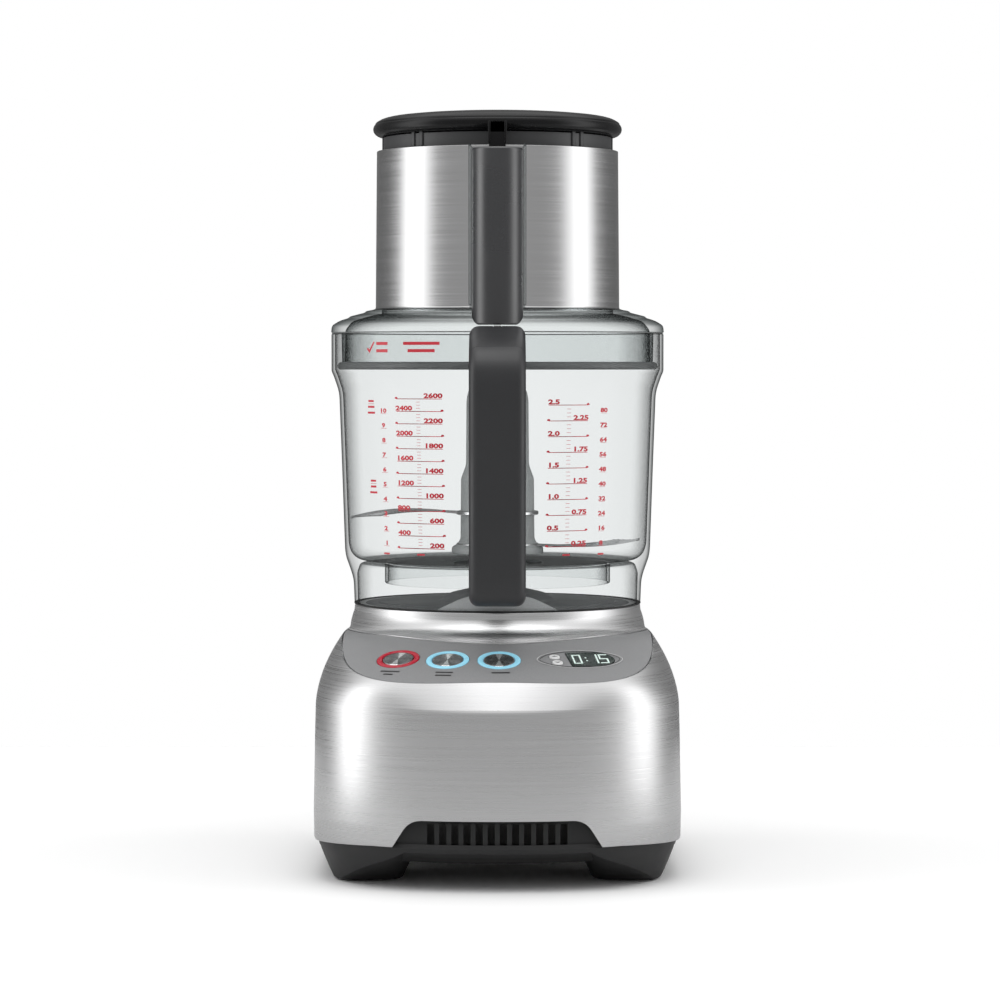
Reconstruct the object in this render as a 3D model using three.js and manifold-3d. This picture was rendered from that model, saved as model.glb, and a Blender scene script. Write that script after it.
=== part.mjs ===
// A food processor: motor base, clear bowl with a front handle, blade, lid with a wide chute, and pushers.
// Millimetres, +Z up, front towards -Y, +X to the right, origin at the centre of the base on the worktop.
// Everything is placed in one group whose own origin is the bowl axis. A "forward" distance is measured
// from that axis towards the front, so a point that is f forward has y = -f inside the group.

import * as THREE from "three";
import { mergeVertices } from "three/addons/utils/BufferGeometryUtils.js";
import Module from "manifold-3d";

const wasm = await Module();
wasm.setup();

// ---------- Driving dimensions ----------

const GAP = 0.3; // clearance between pieces that touch
const SHEET = 2.2; // base casing wall
const BOWL_AXIS_Y = 33; // bowl axis behind the centre of the base

const BASE_HALF_WIDTH = 106;
const BASE_FRONT = 166.5;
const BASE_BACK = 100.5;
const WIDEST_FORWARD = 84; // where the base is widest
const FRONT_POWER = 2.3;
const BACK_POWER = 5;
const CASING_BOTTOM = 17.5; // of the back and sides
const CASING_RISE = 7.5; // how much higher the casing's lower edge is in front
const BOSS_BOTTOM = 21;
const HEM_HEIGHT = 38; // where the casing is widest
const CREASE_HEIGHT = 99.5;
const DECK_HEIGHT = 151.5;
const DECK_RADIUS = 85.5;

const PANEL_TILT = THREE.MathUtils.degToRad(19);
const PANEL_AXIS_BACK = 65; // axis of the panel's shallow cone, behind the bowl axis
const PANEL_FOOT_RADIUS = 220;
const PANEL_FOOT_HEIGHT = 117;
const PANEL_CENTRE = 60; // middle of the panel's outline, forward of the bowl axis
const PANEL_HALF_WIDTH = 90.5;
const PANEL_THICKNESS = 2;
const BUTTON_ROW_RADIUS = 190.5; // on the panel's cone
const BUTTON_RADIUS = 8.9;
const RING_RADIUS = 12.2;

const SHAFT_RADIUS = 6;
const SPINDLE_RADIUS = 9;
const SPINDLE_TOP = 262;
const STATOR_RADIUS = 53;
const STATOR_BOTTOM = 60;
const STATOR_TOP = 110;

const COLLAR_RADIUS = 99.4;
const BOWL_TOP = 312.6;
const FLOOR_TOP = 177.6;
const TUBE_BORE = 10.5;
const TUBE_RADIUS = 13;

const LID_RIM_RADIUS = 99.6;
const LID_RIM_BOTTOM = 313.2;
const CHUTE_BORE = 68.7;
const CHUTE_TOP = 420.6;
const PUSHER_RADIUS = 68.1;
const PUSHER_BOTTOM = 330;
const PUSHER_TOP = 429.2;
const CAP_TOP = 443.8;
const SMALL_BORE = 27.2;

const COLUMN_HALF_WIDTH = 14.7;
const COLUMN_FRONT = 106;
const COLUMN_BOTTOM = 316.8;
const COLUMN_TOP = 418.2;
const ROD_FORWARD = 82.7;
const ROD_RADIUS = 2.6;
const ROD_TOP = 408;

const HANDLE_HALF_WIDTH = 16;
const HANDLE_FRONT = 150;
const HANDLE_SPLIT = 137.5; // the cover is in front of this, the frame behind it
const LEG_FORWARD = 133.5;
const PLUNGER_FORWARD = 77;
const PLUNGER_RADIUS = 3.6;

const FINE = 32;
const MEDIUM = 20;
const SMALL = 12;
const TINY = 8;

// ---------- Materials ----------

const look = (color, roughness, metalness) => new THREE.MeshStandardMaterial({ color, roughness, metalness });
const brushedSteel = look(0xa8a9ab, 0.35, 1);
const spunSteel = look(0xb9b9b9, 0.28, 1);
const bladeSteel = look(0x9c9fa1, 0.25, 1);
const darkPlastic = look(0x38393b, 0.5, 0);
const blackPlastic = look(0x161617, 0.45, 0);
const panelGrey = look(0x7f8082, 0.55, 0);
const clearPlastic = look(0xd9dedd, 0.08, 0);
const greyRubber = look(0x55585a, 0.8, 0);
const redLight = look(0xc21f33, 0.3, 0);
const blueLight = look(0x9fdcf0, 0.3, 0);
const castAluminium = look(0x8f9193, 0.5, 1);
const motorSteel = look(0x6d6f72, 0.5, 1);
const copper = look(0xa7602f, 0.4, 1);
const circuitGreen = look(0x1d5a3a, 0.5, 0);
const paleMoulding = look(0xd8d8d4, 0.4, 0);
const displayGreen = look(0x2c3a34, 0.2, 0);

// ---------- Shapes and booleans ----------

function toSolid(geometry) {
  const bare = geometry.clone();
  bare.deleteAttribute("normal");
  bare.deleteAttribute("uv");
  const merged = mergeVertices(bare, 1e-4);
  const corners = merged.index.array;
  const faces = [];
  for (let i = 0; i < corners.length; i += 3) {
    const [a, b, c] = [corners[i], corners[i + 1], corners[i + 2]];
    if (a !== b && b !== c && c !== a) faces.push(a, b, c);
  }
  const vertProperties = new Float32Array(merged.attributes.position.array);
  const build = (triVerts) => new wasm.Manifold(new wasm.Mesh({ numProp: 3, vertProperties, triVerts }));
  const made = build(new Uint32Array(faces));
  return made.volume() > 0 ? made : build(new Uint32Array(faces.reverse()));
}

function toGeometry(made) {
  const { vertProperties, triVerts } = made.getMesh();
  return new THREE.BufferGeometry()
    .setAttribute("position", new THREE.BufferAttribute(vertProperties, 3))
    .setIndex(new THREE.BufferAttribute(triVerts, 1));
}

const join = (...pieces) => toGeometry(pieces.map(toSolid).reduce((all, piece) => all.add(piece)));
const cut = (body, ...tools) =>
  toGeometry(tools.map(toSolid).reduce((rest, tool) => rest.subtract(tool), toSolid(body)));
const common = (a, b) => toGeometry(toSolid(a).intersect(toSolid(b)));

// A solid of revolution about Z from [radius, height] points that end on the axis or close on themselves.
function turned(outline, segments) {
  const points = outline.map(([radius, height]) => new THREE.Vector2(radius, height));
  if (outline[0][0] > 0) points.push(points[0].clone());
  return new THREE.LatheGeometry(points, segments).rotateX(Math.PI / 2);
}

const disc = (radius, bottom, top, segments = SMALL) =>
  turned([[0, bottom], [radius, bottom], [radius, top], [0, top]], segments);
const tube = (bore, radius, bottom, top, segments = MEDIUM) =>
  turned([[bore, bottom], [radius, bottom], [radius, top], [bore, top]], segments);

// A box between two sides, two forward distances and two heights.
function block(left, right, back, front, bottom, top) {
  return new THREE.BoxGeometry(right - left, front - back, top - bottom)
    .translate((left + right) / 2, -(back + front) / 2, (bottom + top) / 2);
}

const moved = (geometry, x, forward, z = 0) => geometry.clone().translate(x, -forward, z);

// A side outline of [forward, height] points, extruded symmetrically across X.
function slab(outline, halfWidth, bevel = 0) {
  const shape = new THREE.Shape(outline.map(([forward, height]) => new THREE.Vector2(forward, height)));
  const depth = 2 * (halfWidth - bevel);
  const settings = { depth, steps: 1, bevelEnabled: bevel > 0, bevelSize: bevel, bevelOffset: -bevel };
  settings.bevelThickness = bevel;
  settings.bevelSegments = 2;
  const sideways = new THREE.Matrix4().makeBasis(
    new THREE.Vector3(0, -1, 0),
    new THREE.Vector3(0, 0, 1),
    new THREE.Vector3(-1, 0, 0),
  );
  return new THREE.ExtrudeGeometry(shape, settings).translate(0, 0, -depth / 2).applyMatrix4(sideways);
}

// A closed skin over rings of equally many points, with both ends closed by a fan.
function loft(rings) {
  const count = rings[0].length;
  const points = rings.flat();
  const faces = [];
  for (let r = 0; r + 1 < rings.length; r++) {
    for (let i = 0; i < count; i++) {
      const [a, b] = [r * count + i, r * count + ((i + 1) % count)];
      faces.push(a, b, b + count, a, b + count, a + count);
    }
  }
  for (const [ring, start, turn] of [[rings[0], 0, true], [rings.at(-1), points.length - count, false]]) {
    const middle = ring.reduce((sum, p) => sum.add(p), new THREE.Vector3()).divideScalar(count);
    const centre = points.push(middle) - 1;
    for (let i = 0; i < count; i++) {
      const [a, b] = [start + i, start + ((i + 1) % count)];
      faces.push(...(turn ? [b, a, centre] : [a, b, centre]));
    }
  }
  return new THREE.BufferGeometry().setFromPoints(points).setIndex(faces);
}

// A named piece. Going through a solid also turns its faces outwards.
function part(name, geometry, material) {
  const mesh = new THREE.Mesh(toGeometry(toSolid(geometry)), material);
  mesh.name = name;
  return mesh;
}

// ---------- Outlines of the base ----------

const OUTLINE_STEPS = 32;

// Directions that walk evenly round a square, as [across, forward] pairs between -1 and 1.
const squareWalk = Array.from({ length: OUTLINE_STEPS }, (_, step) => {
  const side = Math.floor((4 * step) / OUTLINE_STEPS);
  const along = (((4 * step) / OUTLINE_STEPS) % 1) * 2 - 1;
  return [[1, along], [-along, 1], [-1, -along], [along, -1]][side];
});

// The same walk pulled in to a superellipse: a square with rounder corners the lower the power is.
const superellipse = (power) => squareWalk.map(([u, v]) => {
  const size = (Math.abs(u) ** power + Math.abs(v) ** power) ** (-1 / power);
  return [u * size, v * size];
});

// A level section of the base: nearly straight sides and back, and a front bowed into broad round corners.
function baseSection({ height, inset = 0, shrink = 0 }) {
  const smaller = shrink + inset;
  const ahead = superellipse(FRONT_POWER);
  const behind = superellipse(BACK_POWER);
  return squareWalk.map(([, along], i) => {
    const [u, v] = (along >= 0 ? ahead : behind)[i];
    const reach = along >= 0 ? BASE_FRONT - WIDEST_FORWARD : BASE_BACK + WIDEST_FORWARD;
    const forward = WIDEST_FORWARD + v * (reach - smaller);
    const level = typeof height === "function" ? height(forward) : height;
    return new THREE.Vector3(u * (BASE_HALF_WIDTH - smaller), -forward, level);
  });
}

const casingEdge = (forward) => CASING_BOTTOM + CASING_RISE * THREE.MathUtils.clamp(forward / 150, 0, 1);

// The height of the panel's cone above a point.
function panelHeight(x, forward) {
  const radius = Math.hypot(x, forward + PANEL_AXIS_BACK);
  return PANEL_FOOT_HEIGHT + (PANEL_FOOT_RADIUS - radius) * Math.tan(PANEL_TILT);
}

// The rounded outline that bounds the panel in front and hugs the neck behind.
function panelOutline(inset, heightOf) {
  const [frontHalf, backHalf] = [95, 153];
  const ahead = superellipse(3.4);
  const behind = superellipse(2.6);
  return squareWalk.map(([, along], i) => {
    const [u, v] = (along > 0 ? ahead : behind)[i];
    const x = u * (PANEL_HALF_WIDTH - inset);
    const forward = PANEL_CENTRE + v * ((v > 0 ? frontHalf : backHalf) - inset);
    return new THREE.Vector3(x, -forward, heightOf(x, forward));
  });
}

const SHOULDER_TOP = 137;
const shoulderHeight = (x, forward) => Math.min(panelHeight(x, forward), SHOULDER_TOP);

// The body below the neck: upright walls, a crease, a rounded shoulder and the sloping panel.
function baseBody(inset, lowering, bottom = casingEdge, hemmed = true) {
  const crease = baseSection({ height: CREASE_HEIGHT - lowering / 2, inset, shrink: 1.3 });
  const top = panelOutline(inset, (x, forward) => shoulderHeight(x, forward) - lowering);
  const bulge = 2.8;
  const shoulder = (share) => crease.map((low, i) => {
    const point = low.clone().lerp(top[i], share);
    const swell = (4 * bulge * share * (1 - share) * Math.abs(point.x)) / BASE_HALF_WIDTH;
    point.x += Math.sign(point.x) * swell;
    point.z += swell / 3;
    return point;
  });
  const neckFoot = top.map((edge) => {
    const [x, forward] = [edge.x, -edge.y];
    const scale = 80 / Math.hypot(x, forward);
    const height = shoulderHeight(x * scale, forward * scale) - lowering;
    return new THREE.Vector3(x * scale, -forward * scale, height);
  });
  const hem = hemmed ? [baseSection({ height: HEM_HEIGHT, inset })] : [];
  return loft([baseSection({ height: bottom, inset, shrink: 0.6 }), ...hem, crease,
    shoulder(0.33), shoulder(0.66), top, neckFoot]);
}

// Everything above the panel's outline and outside the neck, for cutting the panel and its recess.
function panelZone(inset, neckRadius) {
  const prism = loft([panelOutline(inset, () => 90), panelOutline(inset, () => 170)]);
  return cut(prism, disc(neckRadius, 80, 180, FINE));
}

// A group that sits on the panel's cone, its Z along the surface normal and its Y up the slope.
function panelStation(azimuth, radius = BUTTON_ROW_RADIUS) {
  const station = new THREE.Group();
  const [x, forward] = [radius * Math.sin(azimuth), radius * Math.cos(azimuth) - PANEL_AXIS_BACK];
  station.position.set(x, -forward, panelHeight(x, forward));
  station.rotation.set(PANEL_TILT, 0, azimuth, "ZXY");
  station.updateMatrix();
  return station;
}

// ---------- Base ----------

const BOSS_FORWARD = 76;

// A low dome on the deck that ends where the neck's wall stands.
function interlockBoss(grow) {
  const profile = [[0, 148], [34 + grow, 151], [26 + grow, 154.5 + grow], [18 + grow, 160 + grow], [0, 160 + grow]];
  return common(moved(turned(profile, MEDIUM), 0, BOSS_FORWARD), disc(82.6 + grow, 100, 190, FINE));
}

// Each place is a corner's name, its distance across and its distance forward.
const FOOT_PLACES = [
  ["front_left", -76, 92],
  ["front_right", 76, 92],
  ["rear_left", -74, -62],
  ["rear_right", 74, -62],
];
const SCREW_PLACES = [
  ["front_left", -97.5, 30],
  ["front_right", 97.5, 30],
  ["rear_left", -94, -50],
  ["rear_right", 94, -50],
];
const buttonPlaces = [["power", -17.2, redLight], ["start", -8.5, blueLight], ["pulse", 0.3, blueLight]]
  .map(([name, degrees, light]) => [name, panelStation(THREE.MathUtils.degToRad(degrees)), light]);
const timerStation = panelStation(THREE.MathUtils.degToRad(13.2));
const ARROW_ACROSS = -10.5;
const ARROW_UP = 3.9;
const ARROW_RADIUS = 3.2;

const onStation = (geometry, station) => geometry.clone().applyMatrix4(station.matrix);

// The display's outline in its own plane: straight on the left, rounded on the right.
function displayPlate(grow, bottom, top) {
  const [left, right, half] = [-3.2 - grow, 23.8 + grow, 9.6 + grow];
  const shape = new THREE.Shape();
  shape.moveTo(left, -half);
  shape.lineTo(right - 13, -half);
  shape.quadraticCurveTo(right - 2, -half, right, 0);
  shape.quadraticCurveTo(right - 2, half, right - 13, half);
  shape.lineTo(left, half);
  const settings = { depth: top - bottom, bevelEnabled: false, curveSegments: 8 };
  return new THREE.ExtrudeGeometry(shape, settings).translate(0, 0, bottom);
}

// The opening in the front of the casing, wider at its foot.
function frontArch() {
  const points = [[-65, 15], [65, 15], [52, 36.5], [48, 40.6], [-48, 40.6], [-52, 36.5]];
  const shape = new THREE.Shape(points.map(([x, z]) => new THREE.Vector2(x, z)));
  const deep = new THREE.ExtrudeGeometry(shape, { depth: 45, bevelEnabled: false });
  return deep.rotateX(Math.PI / 2).translate(0, -130, 0);
}

function baseShell() {
  const neck = turned([[0, 120], [92, 120], [92, 134], [88.5, 138.6], [86, 143.4], [DECK_RADIUS, DECK_HEIGHT],
    [0, DECK_HEIGHT]], FINE);
  const neckHollow = turned([[0, 110], [89, 110], [89, 132], [86, 137], [83.6, 142], [83.2, DECK_HEIGHT - 3],
    [0, DECK_HEIGHT - 3]], FINE);
  const spindleBoss = turned([[10, 150], [34, 150], [30, 156.5], [17, 160], [10, 160]], MEDIUM);
  const body = join(baseBody(0, 0), neck, interlockBoss(0), spindleBoss);
  const hollow = join(baseBody(SHEET, 4.6, CASING_BOTTOM - 3, false), neckHollow);
  const recess = cut(panelZone(0.7, 96.7), baseBody(0, PANEL_THICKNESS + GAP, 60, false));
  const bosses = SCREW_PLACES.map(([, x, forward]) => moved(disc(6, BOSS_BOTTOM, 46, SMALL), x, forward));
  const pilots = SCREW_PLACES.map(([, x, forward]) => moved(disc(1.9, 18, 32, TINY), x, forward));
  const shell = cut(body, hollow, recess, panelZone(7, 103), frontArch());
  const openings = [
    disc(11.8, 140, 165),
    moved(disc(5, 140, 170), 0, PLUNGER_FORWARD),
    new THREE.CylinderGeometry(9.3, 9.3, 12, SMALL).translate(45, BASE_BACK - 3, 40),
  ];
  return cut(join(shell, ...bosses.map((boss) => common(boss, baseBody(1, 4.6)))), ...pilots, ...openings);
}

function basePan() {
  const skirt = (height, inset) => baseSection({ height, inset, shrink: 0.6 });
  const plate = loft([skirt(15, 6), skirt(18, 3.2), skirt(20.2, 2.6)]);
  const oval = superellipse(4);
  const pod = (x, forward, halfX, halfY, height) =>
    oval.map(([u, v]) => new THREE.Vector3(x + u * halfX, -(forward + v * halfY), height));
  const pods = FOOT_PLACES.map(([, x, forward]) => {
    const side = Math.sign(x);
    const [middle, top] = forward > 0 ? [116, 26] : [-66, 20];
    const shape = loft([
      pod(side * 74, forward, 20, 25, 1.4),
      pod(side * 75.5, middle, 31, 50, top - 2),
      pod(side * 75.5, middle, 31, 50, top),
    ]);
    return common(shape, loft([skirt(0, 11), skirt(16, 4.5), skirt(26, 3.4)]));
  });
  const wall = common(
    block(-58, 58, 120, 170, 18, 43),
    cut(loft([skirt(18, 5), skirt(50, 5)]), loft([skirt(10, 7.5), skirt(60, 7.5)])),
  );
  const slots = Array.from({ length: 12 }, (_, i) => {
    const x = (i - 5.5) * 6.75;
    return block(x - 2, x + 2, 140, 175, 27, 39);
  });
  const sockets = FOOT_PLACES.map(([, x, forward]) => moved(disc(12.3, 0, 5.3, MEDIUM), x, forward));
  const holes = SCREW_PLACES.map(([, x, forward]) => moved(disc(1.9, 10, 25, TINY), x, forward));
  const accesses = SCREW_PLACES.map(([, x, forward]) => moved(disc(4.2, 0, 15), x, forward));
  return cut(join(plate, ...pods, wall), ...slots, ...sockets, ...holes, ...accesses);
}

function controlPanel() {
  const plate = cut(common(panelZone(1, 97), baseBody(0, 0)), baseBody(0, PANEL_THICKNESS, 60, false));
  const holes = buttonPlaces.map(([, station]) => onStation(disc(RING_RADIUS + GAP, -8, 8, MEDIUM), station));
  const arrows = [ARROW_UP, -ARROW_UP].map((up) =>
    onStation(disc(ARROW_RADIUS + GAP, -8, 8, TINY).translate(ARROW_ACROSS, up, 0), timerStation));
  return cut(plate, ...holes, ...arrows, onStation(displayPlate(GAP, -8, 8), timerStation));
}

function makeBase() {
  const base = new THREE.Group();
  base.add(part("base_shell", baseShell(), brushedSteel));
  base.add(part("base_pan", basePan(), blackPlastic));
  base.add(part("control_panel", controlPanel(), panelGrey));
  for (const [corner, x, forward] of FOOT_PLACES) {
    const foot = part(`rubber_foot_${corner}`, disc(12, 0, 5, MEDIUM), greyRubber);
    foot.position.set(x, -forward, 0);
    base.add(foot);
  }
  const screw = [[0, 12.3], [3.5, 12.3], [3.5, 14.7], [1.6, 14.7], [1.6, 30], [0, 30]];
  for (const [corner, x, forward] of SCREW_PLACES) {
    const fastener = part(`base_screw_${corner}`, turned(screw, TINY), spunSteel);
    fastener.position.set(x, -forward, 0);
    base.add(fastener);
  }
  for (const [name, station, light] of buttonPlaces) {
    station.add(part(`${name}_ring`, tube(BUTTON_RADIUS + GAP, RING_RADIUS, -3, 0.4, MEDIUM), light));
    const button = join(disc(BUTTON_RADIUS, -1.8, 0.3, MEDIUM), disc(3, -8.4, -1.6));
    station.add(part(`${name}_button`, button, spunSteel));
    base.add(station);
  }
  timerStation.add(part("lcd_window", displayPlate(0, -2.2, 0.2), displayGreen));
  timerStation.add(part("lcd_module", new THREE.BoxGeometry(22, 13, 3).translate(10, 0, -6.4), blackPlastic));
  for (const [name, up] of [["time_up", ARROW_UP], ["time_down", -ARROW_UP]]) {
    const key = part(`${name}_button`, disc(ARROW_RADIUS, -7, 0.3, TINY), paleMoulding);
    key.position.set(ARROW_ACROSS, up, 0);
    timerStation.add(key);
  }
  base.add(timerStation);
  const board = panelStation(0);
  board.add(part("control_board", new THREE.BoxGeometry(132, 24, 1.6).translate(-4, 0, -17), circuitGreen));
  base.add(board);
  const gland = cut(
    join(
      new THREE.CylinderGeometry(9, 9, 9, SMALL).translate(45, BASE_BACK - 5.2, 40),
      new THREE.CylinderGeometry(11, 11, 2, SMALL).translate(45, BASE_BACK - 9, 40),
    ),
    new THREE.CylinderGeometry(3.8, 3.8, 30, TINY).translate(45, BASE_BACK - 4, 40),
  );
  base.add(part("cord_gland", gland, blackPlastic));
  const capacitor = part("run_capacitor", disc(17, 22, 88, MEDIUM), castAluminium);
  capacitor.position.set(-46, 66, 0);
  base.add(capacitor);
  base.add(part("power_board", block(-12, 58, -74, -71, 48, 104), circuitGreen));
  return base;
}

// ---------- Motor ----------

function makeMotor() {
  const motor = new THREE.Group();
  const upperBracket = turned([[13.3, 128], [15.5, 128], [15.5, 134], [54, 134], [54, 85.4], [58, 85.4], [58, 133],
    [66, 133], [66, 138], [13.3, 138]], MEDIUM);
  const lowerBracket = turned([[13.3, 38], [58, 38], [58, 85], [54, 85], [54, 42], [15.5, 42], [15.5, 48],
    [13.3, 48]], MEDIUM);
  motor.add(part("upper_motor_bracket", upperBracket, castAluminium));
  motor.add(part("lower_motor_bracket", lowerBracket, castAluminium));
  motor.add(part("stator_core", tube(31, STATOR_RADIUS, STATOR_BOTTOM, STATOR_TOP), motorSteel));
  motor.add(part("upper_winding", tube(33, 49, STATOR_TOP + GAP, 126), copper));
  motor.add(part("lower_winding", tube(33, 49, 47, STATOR_BOTTOM - GAP), copper));
  motor.add(part("rotor_core", tube(SHAFT_RADIUS + GAP, 30, STATOR_BOTTOM, STATOR_TOP), motorSteel));
  motor.add(part("motor_shaft", disc(SHAFT_RADIUS, 23, 150), spunSteel));
  motor.add(part("upper_bearing", tube(SHAFT_RADIUS + GAP, 13, 129, 137.5, MEDIUM), spunSteel));
  motor.add(part("lower_bearing", tube(SHAFT_RADIUS + GAP, 13, 38.5, 47.5, MEDIUM), spunSteel));
  motor.add(part("shaft_seal", tube(SPINDLE_RADIUS + 0.4, 11.4, 147, 151.2, MEDIUM), greyRubber));
  const vanes = Array.from({ length: 8 }, (_, i) =>
    block(-1, 1, 12, 38, 25, 35).rotateZ((i * Math.PI) / 4));
  const wheel = join(tube(SHAFT_RADIUS + GAP, 13, 24, 36), tube(12, 40, 24, 25.6), ...vanes);
  const fan = cut(wheel, disc(SHAFT_RADIUS + GAP, 20, 40));
  motor.add(part("cooling_fan", fan, blackPlastic));
  const hexagon = disc(SPINDLE_RADIUS, 222, SPINDLE_TOP, 6);
  const post = join(disc(SPINDLE_RADIUS, 140.3, 223, MEDIUM), hexagon);
  const spindle = cut(post, disc(SHAFT_RADIUS + GAP, 139, 150.4));
  motor.add(part("drive_spindle", spindle, spunSteel));
  const switchBody = block(-9, 9, 69, 86, 116, 133.5);
  motor.add(part("interlock_switch", switchBody, blackPlastic));
  const plunger = part("switch_plunger", turned([[0, 140], [PLUNGER_RADIUS, 140], [PLUNGER_RADIUS, 145.2],
    [5.8, 145.2], [5.8, 147.2], [PLUNGER_RADIUS, 147.2], [PLUNGER_RADIUS, 162.3], [0, 162.3]], SMALL), paleMoulding);
  plunger.position.set(0, -PLUNGER_FORWARD, 0);
  motor.add(plunger);
  const spring = part("plunger_spring", tube(4.1, 5.4, 133.8, 144.9, SMALL), spunSteel);
  spring.position.set(0, -PLUNGER_FORWARD, 0);
  motor.add(spring);
  return motor;
}

// ---------- Bowl, handle and rod ----------

function bowlShape() {
  const profile = [
    [TUBE_BORE, 170], [TUBE_BORE, 225], [TUBE_RADIUS, 225], [TUBE_RADIUS, FLOOR_TOP], [83, FLOOR_TOP], [87.5, 181],
    [89.1, 187], [92.4, 277.8], [95.7, 287.4], [97, 290.5], [97, BOWL_TOP], [COLLAR_RADIUS, BOWL_TOP],
    [COLLAR_RADIUS, 289.8], [98.1, 287.4], [94.8, 277.8], [93.3, 237], [91.5, 184], [90.9, 179.4], [87.5, 169.8],
    [86.3, 165], [85.8, 151.8], [83.4, 151.8], [83.8, 166], [84.8, 170], [82, 174.8], [67.8, 174.8], [67.8, 162],
    [65.4, 162], [65.4, 174.8], [15, 174.8], [15, 170],
  ];
  return turned(profile, FINE);
}

// The bowl's and the lid rim's outside, grown by a gap, for shaping what fits round them.
const bowlClearance = () => turned([[0, 140], [86.2, 140], [86.7, 165], [87.9, 169.8], [91.3, 179.4], [91.9, 184],
  [95.2, 277.8], [98.5, 287.4], [99.8, 289.5], [100.1, 316.5], [0, 316.5]], FINE);

const HANDLE_OUTLINE = [
  [88, 316.2], [106, 316.2], [116, 313.8], [127, 309.4], [138, 304.2], [146, 299.6], [149.4, 296], [HANDLE_FRONT, 291],
  [HANDLE_FRONT, 173], [148.6, 166], [145, 160.6], [139, 158], [80, 158], [80, 177.5], [117, 177.5], [122.2, 179.8],
  [124.4, 185], [124.4, 276], [122, 283], [116, 287.4], [88, 287.4],
];

function handlePieces() {
  const whole = slab(HANDLE_OUTLINE, HANDLE_HALF_WIDTH, 3);
  const channel = [
    block(-2.6, 2.6, 99.5, 104.4, 293, 320),
    block(-2.6, 2.6, 99.5, 136.2, 293, 304.6),
    block(-2.6, 2.6, LEG_FORWARD - 2.6, HANDLE_SPLIT + 1, 161.4, 304.6),
    block(-2.6, 2.6, 60, 136.2, 161.4, 172.6),
    block(-4.8, 4.8, LEG_FORWARD - 4.8, HANDLE_SPLIT + 1, 200, 236),
  ];
  const ahead = block(-30, 30, HANDLE_SPLIT - 0.15, 200, 100, 340);
  const behind = block(-30, 30, 60, HANDLE_SPLIT + 0.15, 100, 340);
  const frame = cut(whole, ahead, bowlClearance(), ...channel);
  const coverHollow = slab([[HANDLE_SPLIT - 1, 170], [147, 174], [147, 290], [HANDLE_SPLIT - 1, 298]], 12.5);
  return { frame, cover: cut(whole, behind, coverHollow) };
}

function handleRod() {
  return cut(join(
    block(-2, 2, 100.4, 103.8, 296, COLUMN_BOTTOM - 0.4),
    block(-2, 2, 100.4, 135.5, 300, 304),
    block(-2, 2, 131.5, 135.5, 168, 304),
    moved(disc(4.2, 228, 230, TINY), 0, LEG_FORWARD),
    block(-2, 2, 74.5, 135.5, 168, 172),
    block(-2, 2, 74.5, 79.5, 162.6, 172),
  ), block(-5, 5, 99, 105, 290, 300));
}

function makeBowl() {
  const bowl = new THREE.Group();
  const rodSlot = block(-3, 3, 70, 95, 160.8, 173);
  const plungerRoom = moved(disc(5, 150, 173), 0, PLUNGER_FORWARD);
  bowl.add(part("bowl", cut(bowlShape(), rodSlot, plungerRoom, interlockBoss(0.6)), clearPlastic));
  const { frame, cover } = handlePieces();
  bowl.add(part("handle_frame", frame, darkPlastic));
  bowl.add(part("handle_cover", cover, darkPlastic));
  bowl.add(part("handle_rod", handleRod(), paleMoulding));
  const spring = part("handle_spring", tube(3, 4.1, 200.3, 227.7, SMALL), spunSteel);
  spring.position.set(0, -LEG_FORWARD, 0);
  bowl.add(spring);
  return bowl;
}

// ---------- Blade ----------

// A curved blade: a plan outline of [along, across] points, extruded to its thickness.
function bladePlate(outline, thickness) {
  const shape = new THREE.Shape(outline.map(([along, across]) => new THREE.Vector2(along, across)));
  return new THREE.ExtrudeGeometry(shape, { depth: thickness, bevelEnabled: false });
}

function makeBlade() {
  const blade = new THREE.Group();
  const body = turned([[0, 282], [15, 282], [17.7, 279], [17.7, 232], [21.6, 226], [21.6, 187], [27.5, 184],
    [27.5, 181], [0, 181]], MEDIUM);
  const socket = disc(SPINDLE_RADIUS + 0.6, 226, SPINDLE_TOP + 0.6, 6);
  blade.add(part("blade_hub", cut(body, disc(TUBE_RADIUS + 0.5, 170, 226.5, MEDIUM), socket), darkPlastic));
  const leaf = [[22.2, -9], [40, -13], [62, -11], [79, -3], [87, 10], [74, 12], [55, 10], [38, 9], [22.2, 10]];
  const steps = [["lower_blade", 188, 0], ["upper_blade", 202.5, Math.PI]];
  for (const [name, height, turn] of steps) {
    const metal = part(name, cut(bladePlate(leaf, 1.8), disc(22, -5, 5, MEDIUM)), bladeSteel);
    metal.position.z = height;
    metal.rotation.z = turn;
    blade.add(metal);
  }
  return blade;
}

// ---------- Lid, feed chute and interlock column ----------

function lidShape() {
  return turned([
    [CHUTE_BORE, CHUTE_TOP], [70.7, CHUTE_TOP], [71.3, 327.5], [78.6, 325.8], [88.2, 323.4], [93.6, 321],
    [98.7, 318.6], [LID_RIM_RADIUS, 316.2], [LID_RIM_RADIUS, LID_RIM_BOTTOM], [93.2, LID_RIM_BOTTOM], [93, 292],
    [91, 292], [91, 314.8], [92.4, 318], [88, 320.8], [78, 323.2], [70.9, 325], [70.9, 300], [CHUTE_BORE, 300],
  ], FINE);
}

const lidClearance = () => turned([[0, 300], [100, 300], [100, 316.5], [99, 319], [93.8, 321.4], [88.4, 323.8],
  [78.8, 326.2], [73.3, 327.6], [73.2, 430], [0, 430]], FINE);

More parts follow.
